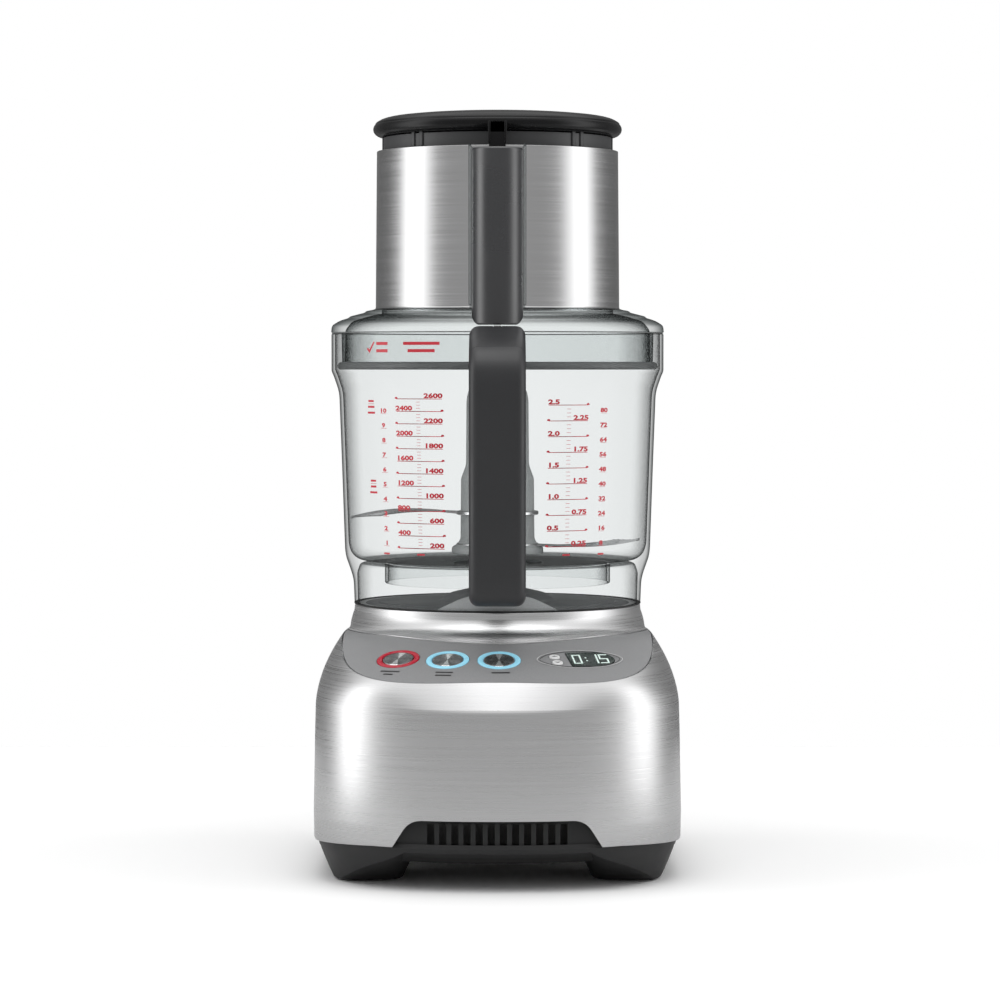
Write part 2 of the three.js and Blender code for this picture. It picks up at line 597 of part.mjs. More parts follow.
function rodColumn() {
  const plan = new THREE.Shape();
  plan.moveTo(COLUMN_HALF_WIDTH, 60);
  plan.lineTo(COLUMN_HALF_WIDTH, COLUMN_FRONT - COLUMN_HALF_WIDTH);
  plan.absarc(0, COLUMN_FRONT - COLUMN_HALF_WIDTH, COLUMN_HALF_WIDTH, 0, Math.PI);
  plan.lineTo(-COLUMN_HALF_WIDTH, 60);
  const settings = { depth: COLUMN_TOP - COLUMN_BOTTOM, bevelEnabled: false, curveSegments: 8 };
  const post = new THREE.ExtrudeGeometry(plan, settings).rotateX(Math.PI).translate(0, 0, COLUMN_TOP);
  return cut(
    post,
    lidClearance(),
    block(-5.6, 5.6, 79.9, 85.5, 399.5, 420),
    moved(disc(4.8, 372, 400), 0, ROD_FORWARD),
    moved(disc(3, 330, 373), 0, ROD_FORWARD),
    block(-3.2, 3.2, 79.4, 104.4, 328, 340.5),
    block(-2.6, 2.6, 99.9, 104.4, 310, 330),
  );
}

function columnRod() {
  const stem = turned([[0, 335], [ROD_RADIUS, 335], [ROD_RADIUS, 392], [4.2, 392], [4.2, 394], [ROD_RADIUS, 394],
    [ROD_RADIUS, ROD_TOP], [0, ROD_TOP]], SMALL);
  const foot = block(-2.4, 2.4, ROD_FORWARD - 2.4, 103.8, 335, 339);
  const leg = block(-2, 2, 100.4, 103.8, COLUMN_BOTTOM, 336);
  return join(moved(stem, 0, ROD_FORWARD), foot, leg);
}

function makeLid() {
  const lid = new THREE.Group();
  lid.add(part("lid", lidShape(), clearPlastic));
  lid.add(part("lid_seal", tube(93.5, 96.6, 297, 301, FINE), greyRubber));
  const band = turned([[71.1, 421.2], [72, 421.2], [72.8, 328], [71.7, 328]], FINE);
  lid.add(part("chute_band", band, brushedSteel));
  lid.add(part("rod_column", rodColumn(), darkPlastic));
  lid.add(part("column_rod", columnRod(), paleMoulding));
  const spring = part("column_spring", tube(3, 4.2, 372.3, 391.7, SMALL), spunSteel);
  spring.position.set(0, -ROD_FORWARD, 0);
  lid.add(spring);
  return lid;
}

// ---------- Pushers ----------

function makePushers() {
  const pushers = new THREE.Group();
  const body = turned([[SMALL_BORE + 0.3, PUSHER_BOTTOM], [PUSHER_RADIUS, PUSHER_BOTTOM], [PUSHER_RADIUS, PUSHER_TOP],
    [65.6, PUSHER_TOP], [65.6, 333], [30, 333], [30, PUSHER_TOP], [SMALL_BORE + 0.3, PUSHER_TOP]], FINE);
  pushers.add(part("pusher_body", body, darkPlastic));
  const rim = turned([[28, 429.5], [72.6, 430], [74.4, 433.6], [74.4, 436.4], [73, 438.4], [70, 440], [65, 441.2],
    [53, 442.6], [31.3, CAP_TOP], [31.3, 440.4], [28, 440.4]], FINE);
  const hook = join(block(-5, 5, 70, 84.5, 427.5, 436), block(-5, 5, 80.7, 84.5, ROD_TOP + GAP, 436));
  pushers.add(part("pusher_cap", join(rim, hook), blackPlastic));
  const small = turned([[0, CAP_TOP - 0.2], [31, CAP_TOP - 0.2], [31, 440.7], [26.9, 440.7], [26.9, 330.3],
    [24.5, 330.3], [24.5, 438.2], [0, 438.2]], MEDIUM);
  pushers.add(part("small_pusher", small, blackPlastic));
  return pushers;
}

// ---------- The whole machine ----------

const processor = new THREE.Group();
processor.position.y = BOWL_AXIS_Y;
processor.add(makeBase(), makeMotor(), makeBowl(), makeBlade(), makeLid(), makePushers());

export default processor;
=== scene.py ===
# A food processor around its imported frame. Blender units are metres; outlines are written in
# millimetres and scaled by MM. +Z up, front towards -Y. "Forward" is the distance from the bowl axis
# towards the front, so a point f forward lies at y = AXIS_Y - f.
import math

import bmesh
import bpy
import numpy as np
from mathutils import Matrix, Vector


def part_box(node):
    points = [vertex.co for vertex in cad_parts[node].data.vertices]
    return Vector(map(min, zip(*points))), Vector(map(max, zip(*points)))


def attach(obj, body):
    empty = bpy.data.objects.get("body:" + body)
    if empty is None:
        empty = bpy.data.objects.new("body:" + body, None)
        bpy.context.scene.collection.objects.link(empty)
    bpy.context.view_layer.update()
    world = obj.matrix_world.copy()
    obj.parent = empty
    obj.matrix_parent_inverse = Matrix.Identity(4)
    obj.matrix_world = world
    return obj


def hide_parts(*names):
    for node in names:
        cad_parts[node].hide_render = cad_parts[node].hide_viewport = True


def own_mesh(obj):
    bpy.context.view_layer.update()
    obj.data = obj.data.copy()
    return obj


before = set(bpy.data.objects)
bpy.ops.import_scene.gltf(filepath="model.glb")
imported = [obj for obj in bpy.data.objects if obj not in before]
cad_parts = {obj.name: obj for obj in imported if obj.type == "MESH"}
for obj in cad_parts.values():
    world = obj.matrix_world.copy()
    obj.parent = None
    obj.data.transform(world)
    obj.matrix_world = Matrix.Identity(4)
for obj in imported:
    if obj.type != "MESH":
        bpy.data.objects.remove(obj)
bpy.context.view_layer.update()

MM = 0.001
AXIS_Y = sum(corner.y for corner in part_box("drive_spindle")) / 2  # the bowl axis
AXIS = Vector((0, AXIS_Y, 0))

# ---------- Driving dimensions, millimetres ----------

BASE_HALF = 106
BASE_FRONT = 166.5
BASE_BACK = 100.5
WIDEST = 84  # where the base is widest, forward of the bowl axis
FRONT_POWER = 2.3
BACK_POWER = 5
CREASE = 100.5
DECK = 151.5
PANEL_TILT = math.radians(19)
PANEL_AXIS_BACK = 65
PANEL_FOOT = (220, 117)
PANEL_CENTRE = 60
PANEL_HALF = 90.5
RING_ROW = 190.5
SLOT_PITCH = 6.75  # of the air grille
GLAND = (45, 40)  # the cord's way out at the back: across, and above the worktop

ROUND = 176  # segments round a large turned piece
OUTLINE = 256  # points round the base


# ---------- Meshes ----------


def link(obj):
    bpy.context.scene.collection.objects.link(obj)
    return obj


def mark_edges(mesh, angle=math.radians(33)):
    """Outward faces, smooth shading, and sharp edges where two faces meet at more than the angle."""
    work = bmesh.new()
    work.from_mesh(mesh)
    bmesh.ops.remove_doubles(work, verts=work.verts, dist=1e-6)
    bmesh.ops.dissolve_degenerate(work, edges=work.edges, dist=1e-7)
    bmesh.ops.recalc_face_normals(work, faces=work.faces)
    for face in work.faces:
        face.smooth = True
    for edge in work.edges:
        edge.smooth = len(edge.link_faces) == 2 and edge.calc_face_angle(0) < angle
    work.to_mesh(mesh)
    work.free()


def new_object(name, points, faces, material):
    """A closed mesh from points in millimetres about the bowl axis, with z above the worktop."""
    mesh = bpy.data.meshes.new(name)
    places = np.asarray(points, float).reshape(-1, 3) * MM + np.array(AXIS)
    mesh.from_pydata(places.tolist(), [], faces)
    mark_edges(mesh)
    mesh.materials.append(material)
    return link(bpy.data.objects.new(name, mesh))


def grid_faces(rows, columns, wrap_rows=False):
    faces = []
    for r in range(rows if wrap_rows else rows - 1):
        low, high = r * columns, (r + 1) % rows * columns
        for c in range(columns):
            d = (c + 1) % columns
            faces.append((low + c, low + d, high + d, high + c))
    return faces


def skin(name, rings, material, closed=False):
    """A skin over rings of equally many points. It is closed on itself, or its two ends are capped."""
    rows, columns = len(rings), len(rings[0])
    faces = grid_faces(rows, columns, closed)
    if not closed:
        faces.append(tuple(range(columns)))
        faces.append(tuple(range((rows - 1) * columns, rows * columns)))
    return new_object(name, np.concatenate(rings), faces, material)


def softened(outline, closed=True, steps=5):
    """The outline with each corner that has a third number rounded off over that distance."""
    result = []
    count = len(outline)
    for i, point in enumerate(outline):
        here = np.array(point[:2], float)
        reach = point[2] if len(point) > 2 else 0
        if reach == 0 or (not closed and i in (0, count - 1)):
            result.append(here)
            continue
        before = np.array(outline[i - 1][:2], float) - here
        after = np.array(outline[(i + 1) % count][:2], float) - here
        first, last = np.linalg.norm(before), np.linalg.norm(after)
        start = here + before / first * min(reach, first * 0.48)
        end = here + after / last * min(reach, last * 0.48)
        for t in np.linspace(0, 1, steps):
            result.append((1 - t) ** 2 * start + 2 * t * (1 - t) * here + t * t * end)
    return result


def turned(name, outline, material, segments=ROUND):
    """A solid of revolution about the bowl axis from [radius, height, softening] points."""
    closed = outline[0][0] > 0
    profile = softened(outline, closed)
    angles = np.arange(segments) * 2 * math.pi / segments
    rings = []
    for radius, height in profile:
        radius = max(radius, 0.002)
        ring = np.stack([radius * np.sin(angles), -radius * np.cos(angles), np.full(segments, height)], 1)
        rings.append(ring)
    return skin(name, rings, material, closed)


def plate(name, outline, bottom, top, material, edge=0.0, steps=4):
    """A flat plate from a level [across, forward] outline, with its rims rounded by the edge distance."""
    flat = np.asarray(outline, float)
    middle = (flat.max(0) + flat.min(0)) / 2
    half = np.maximum((flat.max(0) - flat.min(0)) / 2, 1e-6)
    rings = []

    def ring(inset, height):
        shrunk = middle + (flat - middle) * (1 - inset / half)
        rings.append(np.stack([shrunk[:, 0], -shrunk[:, 1], np.full(len(flat), height)], 1))

    if edge:
        for t in np.linspace(0, math.pi / 2, steps):
            ring(edge * (1 - math.sin(t)), bottom + edge * (1 - math.cos(t)))
        for t in np.linspace(math.pi / 2, 0, steps):
            ring(edge * (1 - math.sin(t)), top - edge * (1 - math.cos(t)))
    else:
        ring(0, bottom)
        ring(0, top)
    return skin(name, rings, material)


def applied(obj):
    """Makes the object's modifiers part of its mesh."""
    old = obj.data
    obj.data = bpy.data.meshes.new_from_object(obj.evaluated_get(bpy.context.evaluated_depsgraph_get()))
    obj.modifiers.clear()
    bpy.data.meshes.remove(old)


def bevelled(obj, width, segments, angle=30):
    """Rounds the edges where two faces meet at more than the angle, in degrees."""
    change = obj.modifiers.new("round", "BEVEL")
    change.width = width * MM
    change.segments = segments
    change.limit_method = "ANGLE"
    change.angle_limit = math.radians(angle)
    applied(obj)


def carve(target, *cutters, operation="DIFFERENCE"):
    """Cuts the cutters out of the target, or keeps what is common, and deletes the cutters."""
    material = target.data.materials[0]
    for cutter in cutters:
        change = target.modifiers.new("carve", "BOOLEAN")
        change.operation = operation
        change.object = cutter
        change.solver = "EXACT"
        applied(target)
        bpy.data.objects.remove(cutter)
    mark_edges(target.data)
    target.data.materials.clear()
    target.data.materials.append(material)
    return target


def block(name, x, forward, z, material=None, edge=0.0):
    """A box between two x, two forward distances and two heights, with its upright edges rounded."""
    corners = [(x[i], forward[j], edge) for i, j in ((0, 0), (1, 0), (1, 1), (0, 1))]
    return plate(name, softened(corners), z[0], z[1], material or GREY, min(edge, 0.4) * 0.5)


def place(obj, matrix):
    """Moves a piece made about the bowl axis into another frame, which becomes its own."""
    obj.data.transform(Matrix.Translation(-AXIS))
    obj.matrix_world = matrix
    return obj


def fit(obj, body, slot, *nodes):
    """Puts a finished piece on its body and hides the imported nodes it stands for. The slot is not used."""
    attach(obj, body)
    if nodes:
        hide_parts(*nodes)
    return obj


# ---------- Materials ----------


def node_material(name, colour, roughness, metallic=0.0, **sockets):
    """A Principled material with its constants set on the shader's own sockets."""
    made = bpy.data.materials.new(name)
    made.use_nodes = True
    shader = made.node_tree.nodes["Principled BSDF"]
    shader.inputs["Base Color"].default_value = (*colour, 1)
    shader.inputs["Roughness"].default_value = roughness
    shader.inputs["Metallic"].default_value = metallic
    for socket, value in sockets.items():
        shader.inputs[socket.replace("_", " ")].default_value = value
    return made


class Graph:
    """Short calls for the nodes of one material or of the world."""

    def __init__(self, owner):
        self.tree = owner.node_tree
        self.shader = self.tree.nodes.get("Principled BSDF")
        self.place = self.node("ShaderNodeTexCoord").outputs["Object"]

    def node(self, kind, **settings):
        made = self.tree.nodes.new(kind)
        for key, value in settings.items():
            setattr(made, key, value)
        return made

    def join(self, source, target):
        self.tree.links.new(source, target)

    def stretched(self, scale):
        mapping = self.node("ShaderNodeMapping")
        mapping.inputs["Scale"].default_value = scale
        self.join(self.place, mapping.inputs["Vector"])
        return mapping.outputs["Vector"]

    def noise(self, scale, size=1.0, detail=3.0):
        noise = self.node("ShaderNodeTexNoise")
        noise.inputs["Scale"].default_value = size
        noise.inputs["Detail"].default_value = detail
        self.join(self.stretched(scale), noise.inputs["Vector"])
        return noise.outputs["Fac"]

    def ramp(self, source, stops):
        ramp = self.node("ShaderNodeValToRGB")
        for element, (position, colour) in zip(ramp.color_ramp.elements, (stops[0], stops[-1])):
            element.position = position
            element.color = (*colour, 1)
        for position, colour in stops[1:-1]:
            ramp.color_ramp.elements.new(position).color = (*colour, 1)
        self.join(source, ramp.inputs["Fac"])
        return ramp.outputs["Color"]

    def span(self, source, low, high):
        """The source's 0.3 to 0.7 spread over low to high."""
        span = self.node("ShaderNodeMapRange")
        for key, value in (("From Min", 0.3), ("From Max", 0.7), ("To Min", low), ("To Max", high)):
            span.inputs[key].default_value = value
        self.join(source, span.inputs["Value"])
        return span.outputs["Result"]

    def bump(self, height, distance, strength=1.0):
        bump = self.node("ShaderNodeBump")
        bump.inputs["Distance"].default_value = distance
        bump.inputs["Strength"].default_value = strength
        self.join(height, bump.inputs["Height"])
        self.join(bump.outputs["Normal"], self.shader.inputs["Normal"])

    def maths(self, operation, *values):
        made = self.node("ShaderNodeMath", operation=operation)
        for socket, value in zip(made.inputs, values):
            if isinstance(value, (int, float)):
                socket.default_value = value
            else:
                self.join(value, socket)
        return made.outputs[0]

    def mixed(self, factor, colour, level):
        """The colour, or the even grey of the level as the factor goes to one."""
        mix = self.node("ShaderNodeMix", data_type="RGBA")
        self.join(factor, mix.inputs["Factor"])
        self.join(colour, mix.inputs[6])
        mix.inputs[7].default_value = (level, level, level, 1)
        return mix.outputs[2]

    def drive(self, socket, source):
        self.join(source, self.shader.inputs[socket])


def brushed(name, grey, roughness, along=(9, 9, 1900), anisotropy=0.65):
    """Metal with fine scratches drawn out across X and Y, so that they run round the object."""
    made = node_material(name, (grey, grey, grey * 1.01), roughness, 1.0, Anisotropic=anisotropy)
    graph = Graph(made)
    scratches = graph.noise(along, 1.0, 4.0)
    clouds = graph.noise((14, 14, 14), 1.0, 2.0)
    graph.drive("Roughness", graph.span(scratches, roughness - 0.04, roughness + 0.05))
    dark, light = grey * 0.955, grey * 1.035
    tone = graph.node("ShaderNodeMix", data_type="FLOAT")
    tone.inputs[0].default_value = 0.3
    graph.join(scratches, tone.inputs[2])
    graph.join(clouds, tone.inputs[3])
    stops = [(0.3, (dark, dark, dark)), (0.7, (light, light, light * 1.01))]
    graph.drive("Base Color", graph.ramp(tone.outputs[0], stops))
    graph.bump(scratches, 0.00001, 0.25)
    if anisotropy:
        tangent = graph.node("ShaderNodeTangent", direction_type="RADIAL", axis="Z")
        graph.join(tangent.outputs["Tangent"], graph.shader.inputs["Tangent"])
    return made


def moulded(name, colour, roughness, grain=1400, depth=0.00004, spread=0.07, **sockets):
    """Plastic or rubber with a fine moulded grain and slight unevenness of tone and gloss."""
    made = node_material(name, colour, roughness, 0.0, **sockets)
    graph = Graph(made)
    fine = graph.noise((grain, grain, grain), 1.0, 2.0)
    broad = graph.noise((35, 35, 35), 1.0, 3.0)
    graph.drive("Roughness", graph.span(broad, roughness - spread, roughness + spread))
    low = tuple(c * 0.86 for c in colour)
    high = tuple(c * 1.1 for c in colour)
    graph.drive("Base Color", graph.ramp(graph.span(fine, 0.2, 0.8), [(0.0, low), (1.0, high)]))
    graph.bump(fine, depth, 0.6)
    return made


def spun(name, grey, roughness):
    """Metal turned in a lathe: circular scratches about the piece's own middle gather reflected light in two
    streaks, and the base colour adds a painted highlight in two bright wedges with painted shade between."""
    made = node_material(name, (grey, grey, grey), roughness, 1.0, Anisotropic=0.85)
    graph = Graph(made)
    normal = graph.noise((900, 900, 900), 1.0, 3.0)
    graph.drive("Roughness", graph.span(normal, roughness - 0.04, roughness + 0.06))
    around = graph.node("ShaderNodeTexGradient", gradient_type="RADIAL")
    graph.join(graph.place, around.inputs["Vector"])
    # Painted highlight and painted shade: near-white wedges front and back and dark wedges at the sides,
    # round the piece's middle.
    dark, low, bright = (grey * 0.3,) * 3, (grey * 0.5,) * 3, (0.98,) * 3
    painted_glint_wedges = [
        (0.0, low), (0.1, dark), (0.2, low), (0.215, bright), (0.285, bright), (0.3, dark),
        (0.42, low), (0.52, dark), (0.7, low), (0.72, bright), (0.78, bright), (0.8, low),
        (0.92, dark), (1.0, low),
    ]
    graph.drive("Base Color", graph.ramp(around.outputs["Fac"], painted_glint_wedges))
    graph.bump(normal, 0.00001, 0.3)
    tangent = graph.node("ShaderNodeTangent", direction_type="RADIAL", axis="Z")
    graph.join(tangent.outputs["Tangent"], graph.shader.inputs["Tangent"])
    return made


def clear_plastic(name, through, edge, knee):
    """Clear plastic without bending the view: light passes, darkened by painted shade beyond the knee where
    the surface is seen nearly edge on, under a glossy coat."""
    made = node_material(name, (0.03, 0.032, 0.032), 0.06, 0.0, IOR=1.5)
    graph = Graph(made)
    wear = graph.noise((60, 60, 60), 1.0, 3.0)
    graph.drive("Roughness", graph.span(wear, 0.04, 0.1))
    ripple = graph.noise((30, 30, 12), 1.0, 2.0)
    graph.bump(ripple, 0.00012, 0.25)
    clear = graph.node("ShaderNodeBsdfTransparent")
    facing = graph.node("ShaderNodeLayerWeight")
    facing.inputs["Blend"].default_value = 0.4
    # Painted shade: the light let through grows darker towards grazing angles, to near black at the very
    # edge.
    dimmed = tuple(share * 0.82 for share in through)
    painted_edge_shade = [(0.0, through), (knee - 0.27, through), (knee, dimmed), (0.9, edge), (1.0, (0.02,) * 3)]
    graph.join(graph.ramp(facing.outputs["Facing"], painted_edge_shade), clear.inputs["Color"])
    gloss = [(0.0, (0.03,) * 3), (0.5, (0.05,) * 3), (0.8, (0.16,) * 3), (1.0, (0.55,) * 3)]
    mix = graph.node("ShaderNodeMixShader")
    graph.join(graph.ramp(facing.outputs["Facing"], gloss), mix.inputs[0])
    graph.join(clear.outputs[0], mix.inputs[1])
    graph.join(graph.shader.outputs[0], mix.inputs[2])
    output = graph.tree.nodes["Material Output"]
    graph.join(mix.outputs[0], output.inputs["Surface"])
    return made


STEEL = brushed("brushed_casing", 0.64, 0.29)
BAND_STEEL = brushed("band_steel", 0.56, 0.2)
PANEL_GREY = moulded("panel_grey", (0.265, 0.267, 0.272), 0.5, depth=0.00003)
BLACK = moulded("black_plastic", (0.009, 0.009, 0.0095), 0.5)
GREY = moulded("grey_plastic", (0.2, 0.2, 0.2), 0.5)
RUBBER = moulded("grey_rubber", (0.05, 0.05, 0.052), 0.8)
SOFT_DARK = moulded("soft_dark_plastic", (0.022, 0.0225, 0.0245), 0.46)
PUSHER_GREY = moulded("pusher_grey", (0.05, 0.051, 0.053), 0.46)
SPUN_METAL = spun("spun_button", 0.66, 0.2)
RED_LIGHT = moulded("red_light", (0.44, 0.006, 0.026), 0.28, Emission_Color=(0.6, 0.01, 0.03, 1),
                    Emission_Strength=0.1)
BLUE_LIGHT = moulded("blue_light", (0.3, 0.68, 0.84), 0.3, Emission_Color=(0.3, 0.7, 0.95, 1),
                     Emission_Strength=0.2)
WHITE_PLASTIC = moulded("white_plastic", (0.78, 0.78, 0.78), 0.35)
INK = moulded("ink", (0.01, 0.01, 0.01), 0.6)
LINE_LIGHT = moulded("line_light", (0.75, 0.75, 0.75), 0.4)
LINE_DARK = moulded("line_dark", (0.03, 0.03, 0.03), 0.4)
LCD_GREEN = moulded("lcd_green", (0.022, 0.035, 0.03), 0.18)
LCD_GLOW = {"Emission_Color": (0.75, 0.9, 0.85, 1), "Emission_Strength": 0.25}
LCD_WHITE = moulded("lcd_white", (0.72, 0.86, 0.8), 0.4, **LCD_GLOW)
DECK_GREY = moulded("deck_grey", (0.11, 0.112, 0.115), 0.42)
DOME_GREY = moulded("dome_grey", (0.55, 0.555, 0.56), 0.35)
RED_PRINT = moulded("red_print", (0.55, 0.012, 0.03), 0.45)
SEAL = moulded("seal_rubber", (0.13, 0.135, 0.135), 0.5)
COLUMN_PLASTIC = moulded("column_plastic", (0.024, 0.0245, 0.027), 0.3, Specular_IOR_Level=0.9)
CAP_BLACK = moulded("cap_black", (0.006, 0.006, 0.0065), 0.26, Specular_IOR_Level=0.22)
HUB_GREY = moulded("hub_grey", (0.36, 0.37, 0.37), 0.22)
BLADE_STEEL = brushed("blade_steel", 0.62, 0.16, (30, 1500, 1500), 0.0)
SHAFT_STEEL = brushed("shaft_steel", 0.6, 0.24, (9, 9, 2400), 0.4)
SCREW_STEEL = brushed("screw_steel", 0.5, 0.3, (1200, 1200, 1200), 0.0)
CAST_ALUMINIUM = brushed("cast_aluminium", 0.4, 0.5, (420, 420, 420), 0.0)
MOTOR_STEEL = brushed("motor_laminations", 0.3, 0.42, (6, 6, 1300), 0.3)
COPPER = moulded("copper_winding", (0.55, 0.2, 0.07), 0.34, 900, 0.00006, Metallic=1.0)
CIRCUIT_GREEN = moulded("circuit_green", (0.012, 0.09, 0.04), 0.4, 260)
CLEAR = clear_plastic("clear_plastic", (0.982, 0.989, 0.989), (0.2, 0.21, 0.21), 0.72)
CLEAR_LID = clear_plastic("clear_lid", (0.965, 0.976, 0.975), (0.22, 0.24, 0.24), 0.58)

INNER_MATERIALS = (
    ("base_screw_front_left base_screw_front_right base_screw_rear_left base_screw_rear_right", SCREW_STEEL),
    ("motor_shaft upper_bearing lower_bearing", SCREW_STEEL),
    ("upper_motor_bracket lower_motor_bracket run_capacitor", CAST_ALUMINIUM),
    ("stator_core rotor_core", MOTOR_STEEL),
    ("upper_winding lower_winding", COPPER),
    ("control_board power_board", CIRCUIT_GREEN),
    ("lcd_module cooling_fan interlock_switch", BLACK),
    ("shaft_seal", RUBBER),
    ("switch_plunger handle_rod column_rod", WHITE_PLASTIC),
)


# ---------- Base ----------


def square_walk(count):
    """Directions that walk evenly round a square, as across and forward between -1 and 1."""
    side, along = np.divmod(np.arange(count) * 4, count)
    along = along * 2 / count - 1
    across = np.select([side == 0, side == 1, side == 2], [1, -along, -1], along)
    forward = np.select([side == 0, side == 1, side == 2], [along, 1, -along], -1)
    return across.astype(float), forward.astype(float)


def superellipse(power, count=OUTLINE):
    across, forward = square_walk(count)
    size = (abs(across) ** power + abs(forward) ** power) ** (-1 / power)
    return across * size, forward * size


def base_section(height, inset=0.0, shrink=0.0):
    """A level section of the base: nearly straight sides and back, and a front bowed into broad corners."""
    smaller = shrink + inset
    ahead, behind = superellipse(FRONT_POWER), superellipse(BACK_POWER)
    facing = square_walk(OUTLINE)[1] >= 0
    u, v = np.where(facing, ahead[0], behind[0]), np.where(facing, ahead[1], behind[1])
    reach = np.where(facing, BASE_FRONT - WIDEST, BASE_BACK + WIDEST) - smaller
    x, forward = u * (BASE_HALF - smaller), WIDEST + v * reach
    height = height(forward) if callable(height) else np.full(len(x), float(height))
    return np.stack([x, -forward, height], 1)


def front_of(x, inset=0.0):
    """How far forward a level section of the base reaches at each x."""
    share = np.clip(abs(np.asarray(x, float)) / (BASE_HALF - inset), 0, 1)
    return WIDEST + (BASE_FRONT - WIDEST - inset) * (1 - share**FRONT_POWER) ** (1 / FRONT_POWER)


def panel_height(x, forward):
    radius = np.hypot(x, forward + PANEL_AXIS_BACK)
    return PANEL_FOOT[1] + (PANEL_FOOT[0] - radius) * math.tan(PANEL_TILT)


def smooth_minimum(a, b, softness):
    blend = np.clip(0.5 + (b - a) / (2 * softness), 0, 1)
    return b + (a - b) * blend - softness * blend * (1 - blend)


def panel_outline(inset=0.0, drop=0.0):
    """The rounded outline that bounds the panel in front and hugs the neck behind."""
    facing = square_walk(OUTLINE)[1] > 0
    ahead, behind = superellipse(3.4), superellipse(2.6)
    u, v = np.where(facing, ahead[0], behind[0]), np.where(facing, ahead[1], behind[1])
    x = u * (PANEL_HALF - inset)
    forward = PANEL_CENTRE + v * (np.where(v > 0, 95.0, 153.0) - inset)
    height = smooth_minimum(panel_height(x, forward), 137.0, 3.0) - drop
    return np.stack([x, -forward, height], 1)


def neck_ring(outline, radius, height):
    """A circle about the bowl axis whose points lie in the same directions as the outline's."""
    flat = outline[:, :2] / np.hypot(outline[:, 0], outline[:, 1])[:, None]
    return np.column_stack([flat * radius, np.full(len(flat), float(height))])


def neck_foot(outline, drop=0.0):
    """Where the neck meets the panel: further out in front, hugging the sides and the back."""
    facing = -outline[:, 1] / np.hypot(outline[:, 0], outline[:, 1])
    reach = 90.5 + 12.5 * np.clip(facing, 0, 1) ** 1.5
    reach = np.minimum(reach, np.hypot(outline[:, 0], outline[:, 1]) - 1.0)
    foot = neck_ring(outline, 1.0, 0.0)
    foot[:, :2] *= reach[:, None]
    foot[:, 2] = smooth_minimum(panel_height(foot[:, 0], -foot[:, 1]), 137.6, 2.0) - drop
    return foot


def between(a, b, share):
    return a + (b - a) * share


def corner(before, here, after, reach, steps=4):
    """Rings that round off the corner between two stretches of skin over the reach."""
    to_before = (before - here) / np.linalg.norm(before - here, axis=1)[:, None]
    to_after = (after - here) / np.linalg.norm(after - here, axis=1)[:, None]
    start, end = here + to_before * reach, here + to_after * reach
    return [(1 - t) ** 2 * start + 2 * t * (1 - t) * here + t * t * end for t in np.linspace(0, 1, steps)]


def hem(forward):
    """The casing's lower edge rises a little towards the front."""
    return 17.5 + 7.5 * np.clip(forward / 150, 0, 1) ** 1.3


def above_hem(rise):
    """The hem moved up, as a height for base_section."""
    return lambda forward: hem(forward) + rise


def shoulder(crease, outline, share, bulge=2.8):
    ring = between(crease, outline, share)
    swell = 4 * bulge * share * (1 - share) * abs(ring[:, 0]) / BASE_HALF
    ring[:, 0] += np.sign(ring[:, 0]) * swell
    ring[:, 2] += swell / 3
    return ring


def casing_rings(recess):
    crease = base_section(CREASE, shrink=1.3)
    wall = base_section(60, shrink=0.4)
    edge = base_section(hem, shrink=0.9)
    outline = panel_outline()
    foot = neck_foot(outline)
    rings = [base_section(hem, inset=2.2), edge, base_section(above_hem(1.2), shrink=0.3)]
    rings += [base_section(38), wall, base_section(85, shrink=0.9)]
    rings += corner(wall, crease, shoulder(crease, outline, 0.1), 2.2)
    rings += [shoulder(crease, outline, share) for share in np.linspace(0.1, 0.94, 9)]
    edge_low, foot_low = panel_outline(0.35, recess), neck_foot(outline, recess)
    rings += [outline, panel_outline(0.35, 0.1), edge_low]
    rings += [between(edge_low, foot_low, share) for share in (0.35, 0.7)]
    rings += [foot_low, foot]
    top = neck_ring(outline, 85.5, DECK)
    waist = neck_ring(outline, 85.9, 147.4)
    for t in np.linspace(0.12, 1, 12):
        control = neck_ring(outline, 89.4, 138.2)
        rings.append((1 - t) ** 2 * foot + 2 * t * (1 - t) * control + t * t * waist)
    rings += corner(waist, top, neck_ring(outline, 78, DECK), 1.2)
    rings += [neck_ring(outline, radius, DECK) for radius in (80, 40, 14.5)]
    rings += [neck_ring(outline, 12.2, DECK - 0.8), neck_ring(outline, 12.2, DECK - 6)]
    inside = [neck_ring(outline, 80, DECK - 6), neck_ring(outline, 83, 134)]
    inside += [base_section(CREASE - 3, inset=2.5, shrink=1.3)]
    return rings + inside


def gland_turn(name, outline):
    """A piece turned about the cord's way out at the back, its heights measured backwards."""
    piece = turned(name, outline, BLACK, 96)
    origin = AXIS + Vector((GLAND[0], BASE_BACK, GLAND[1])) * MM
    return place(piece, Matrix.Translation(origin) @ Matrix.Rotation(math.radians(-90), 4, "X"))


def make_gland():
    outline = [
        (3.8, -9.5), (9.2, -9.5), (9.2, -0.9, 0.6), (7.6, -0.5, 0.6), (6.0, -1.6, 1.2),
        (4.6, -1.2, 0.6), (3.8, -2.0, 0.4),
    ]
    fit(gland_turn("cord_gland", outline), "base", "black_plastic", "cord_gland")


def upright_prism(name, outline, near, far):
    """A prism from the near to the far forward distance, from an [across, height] outline."""
    return skin(name, [np.array([(x, -f, z) for x, z in outline]) for f in (near, far)], BLACK)


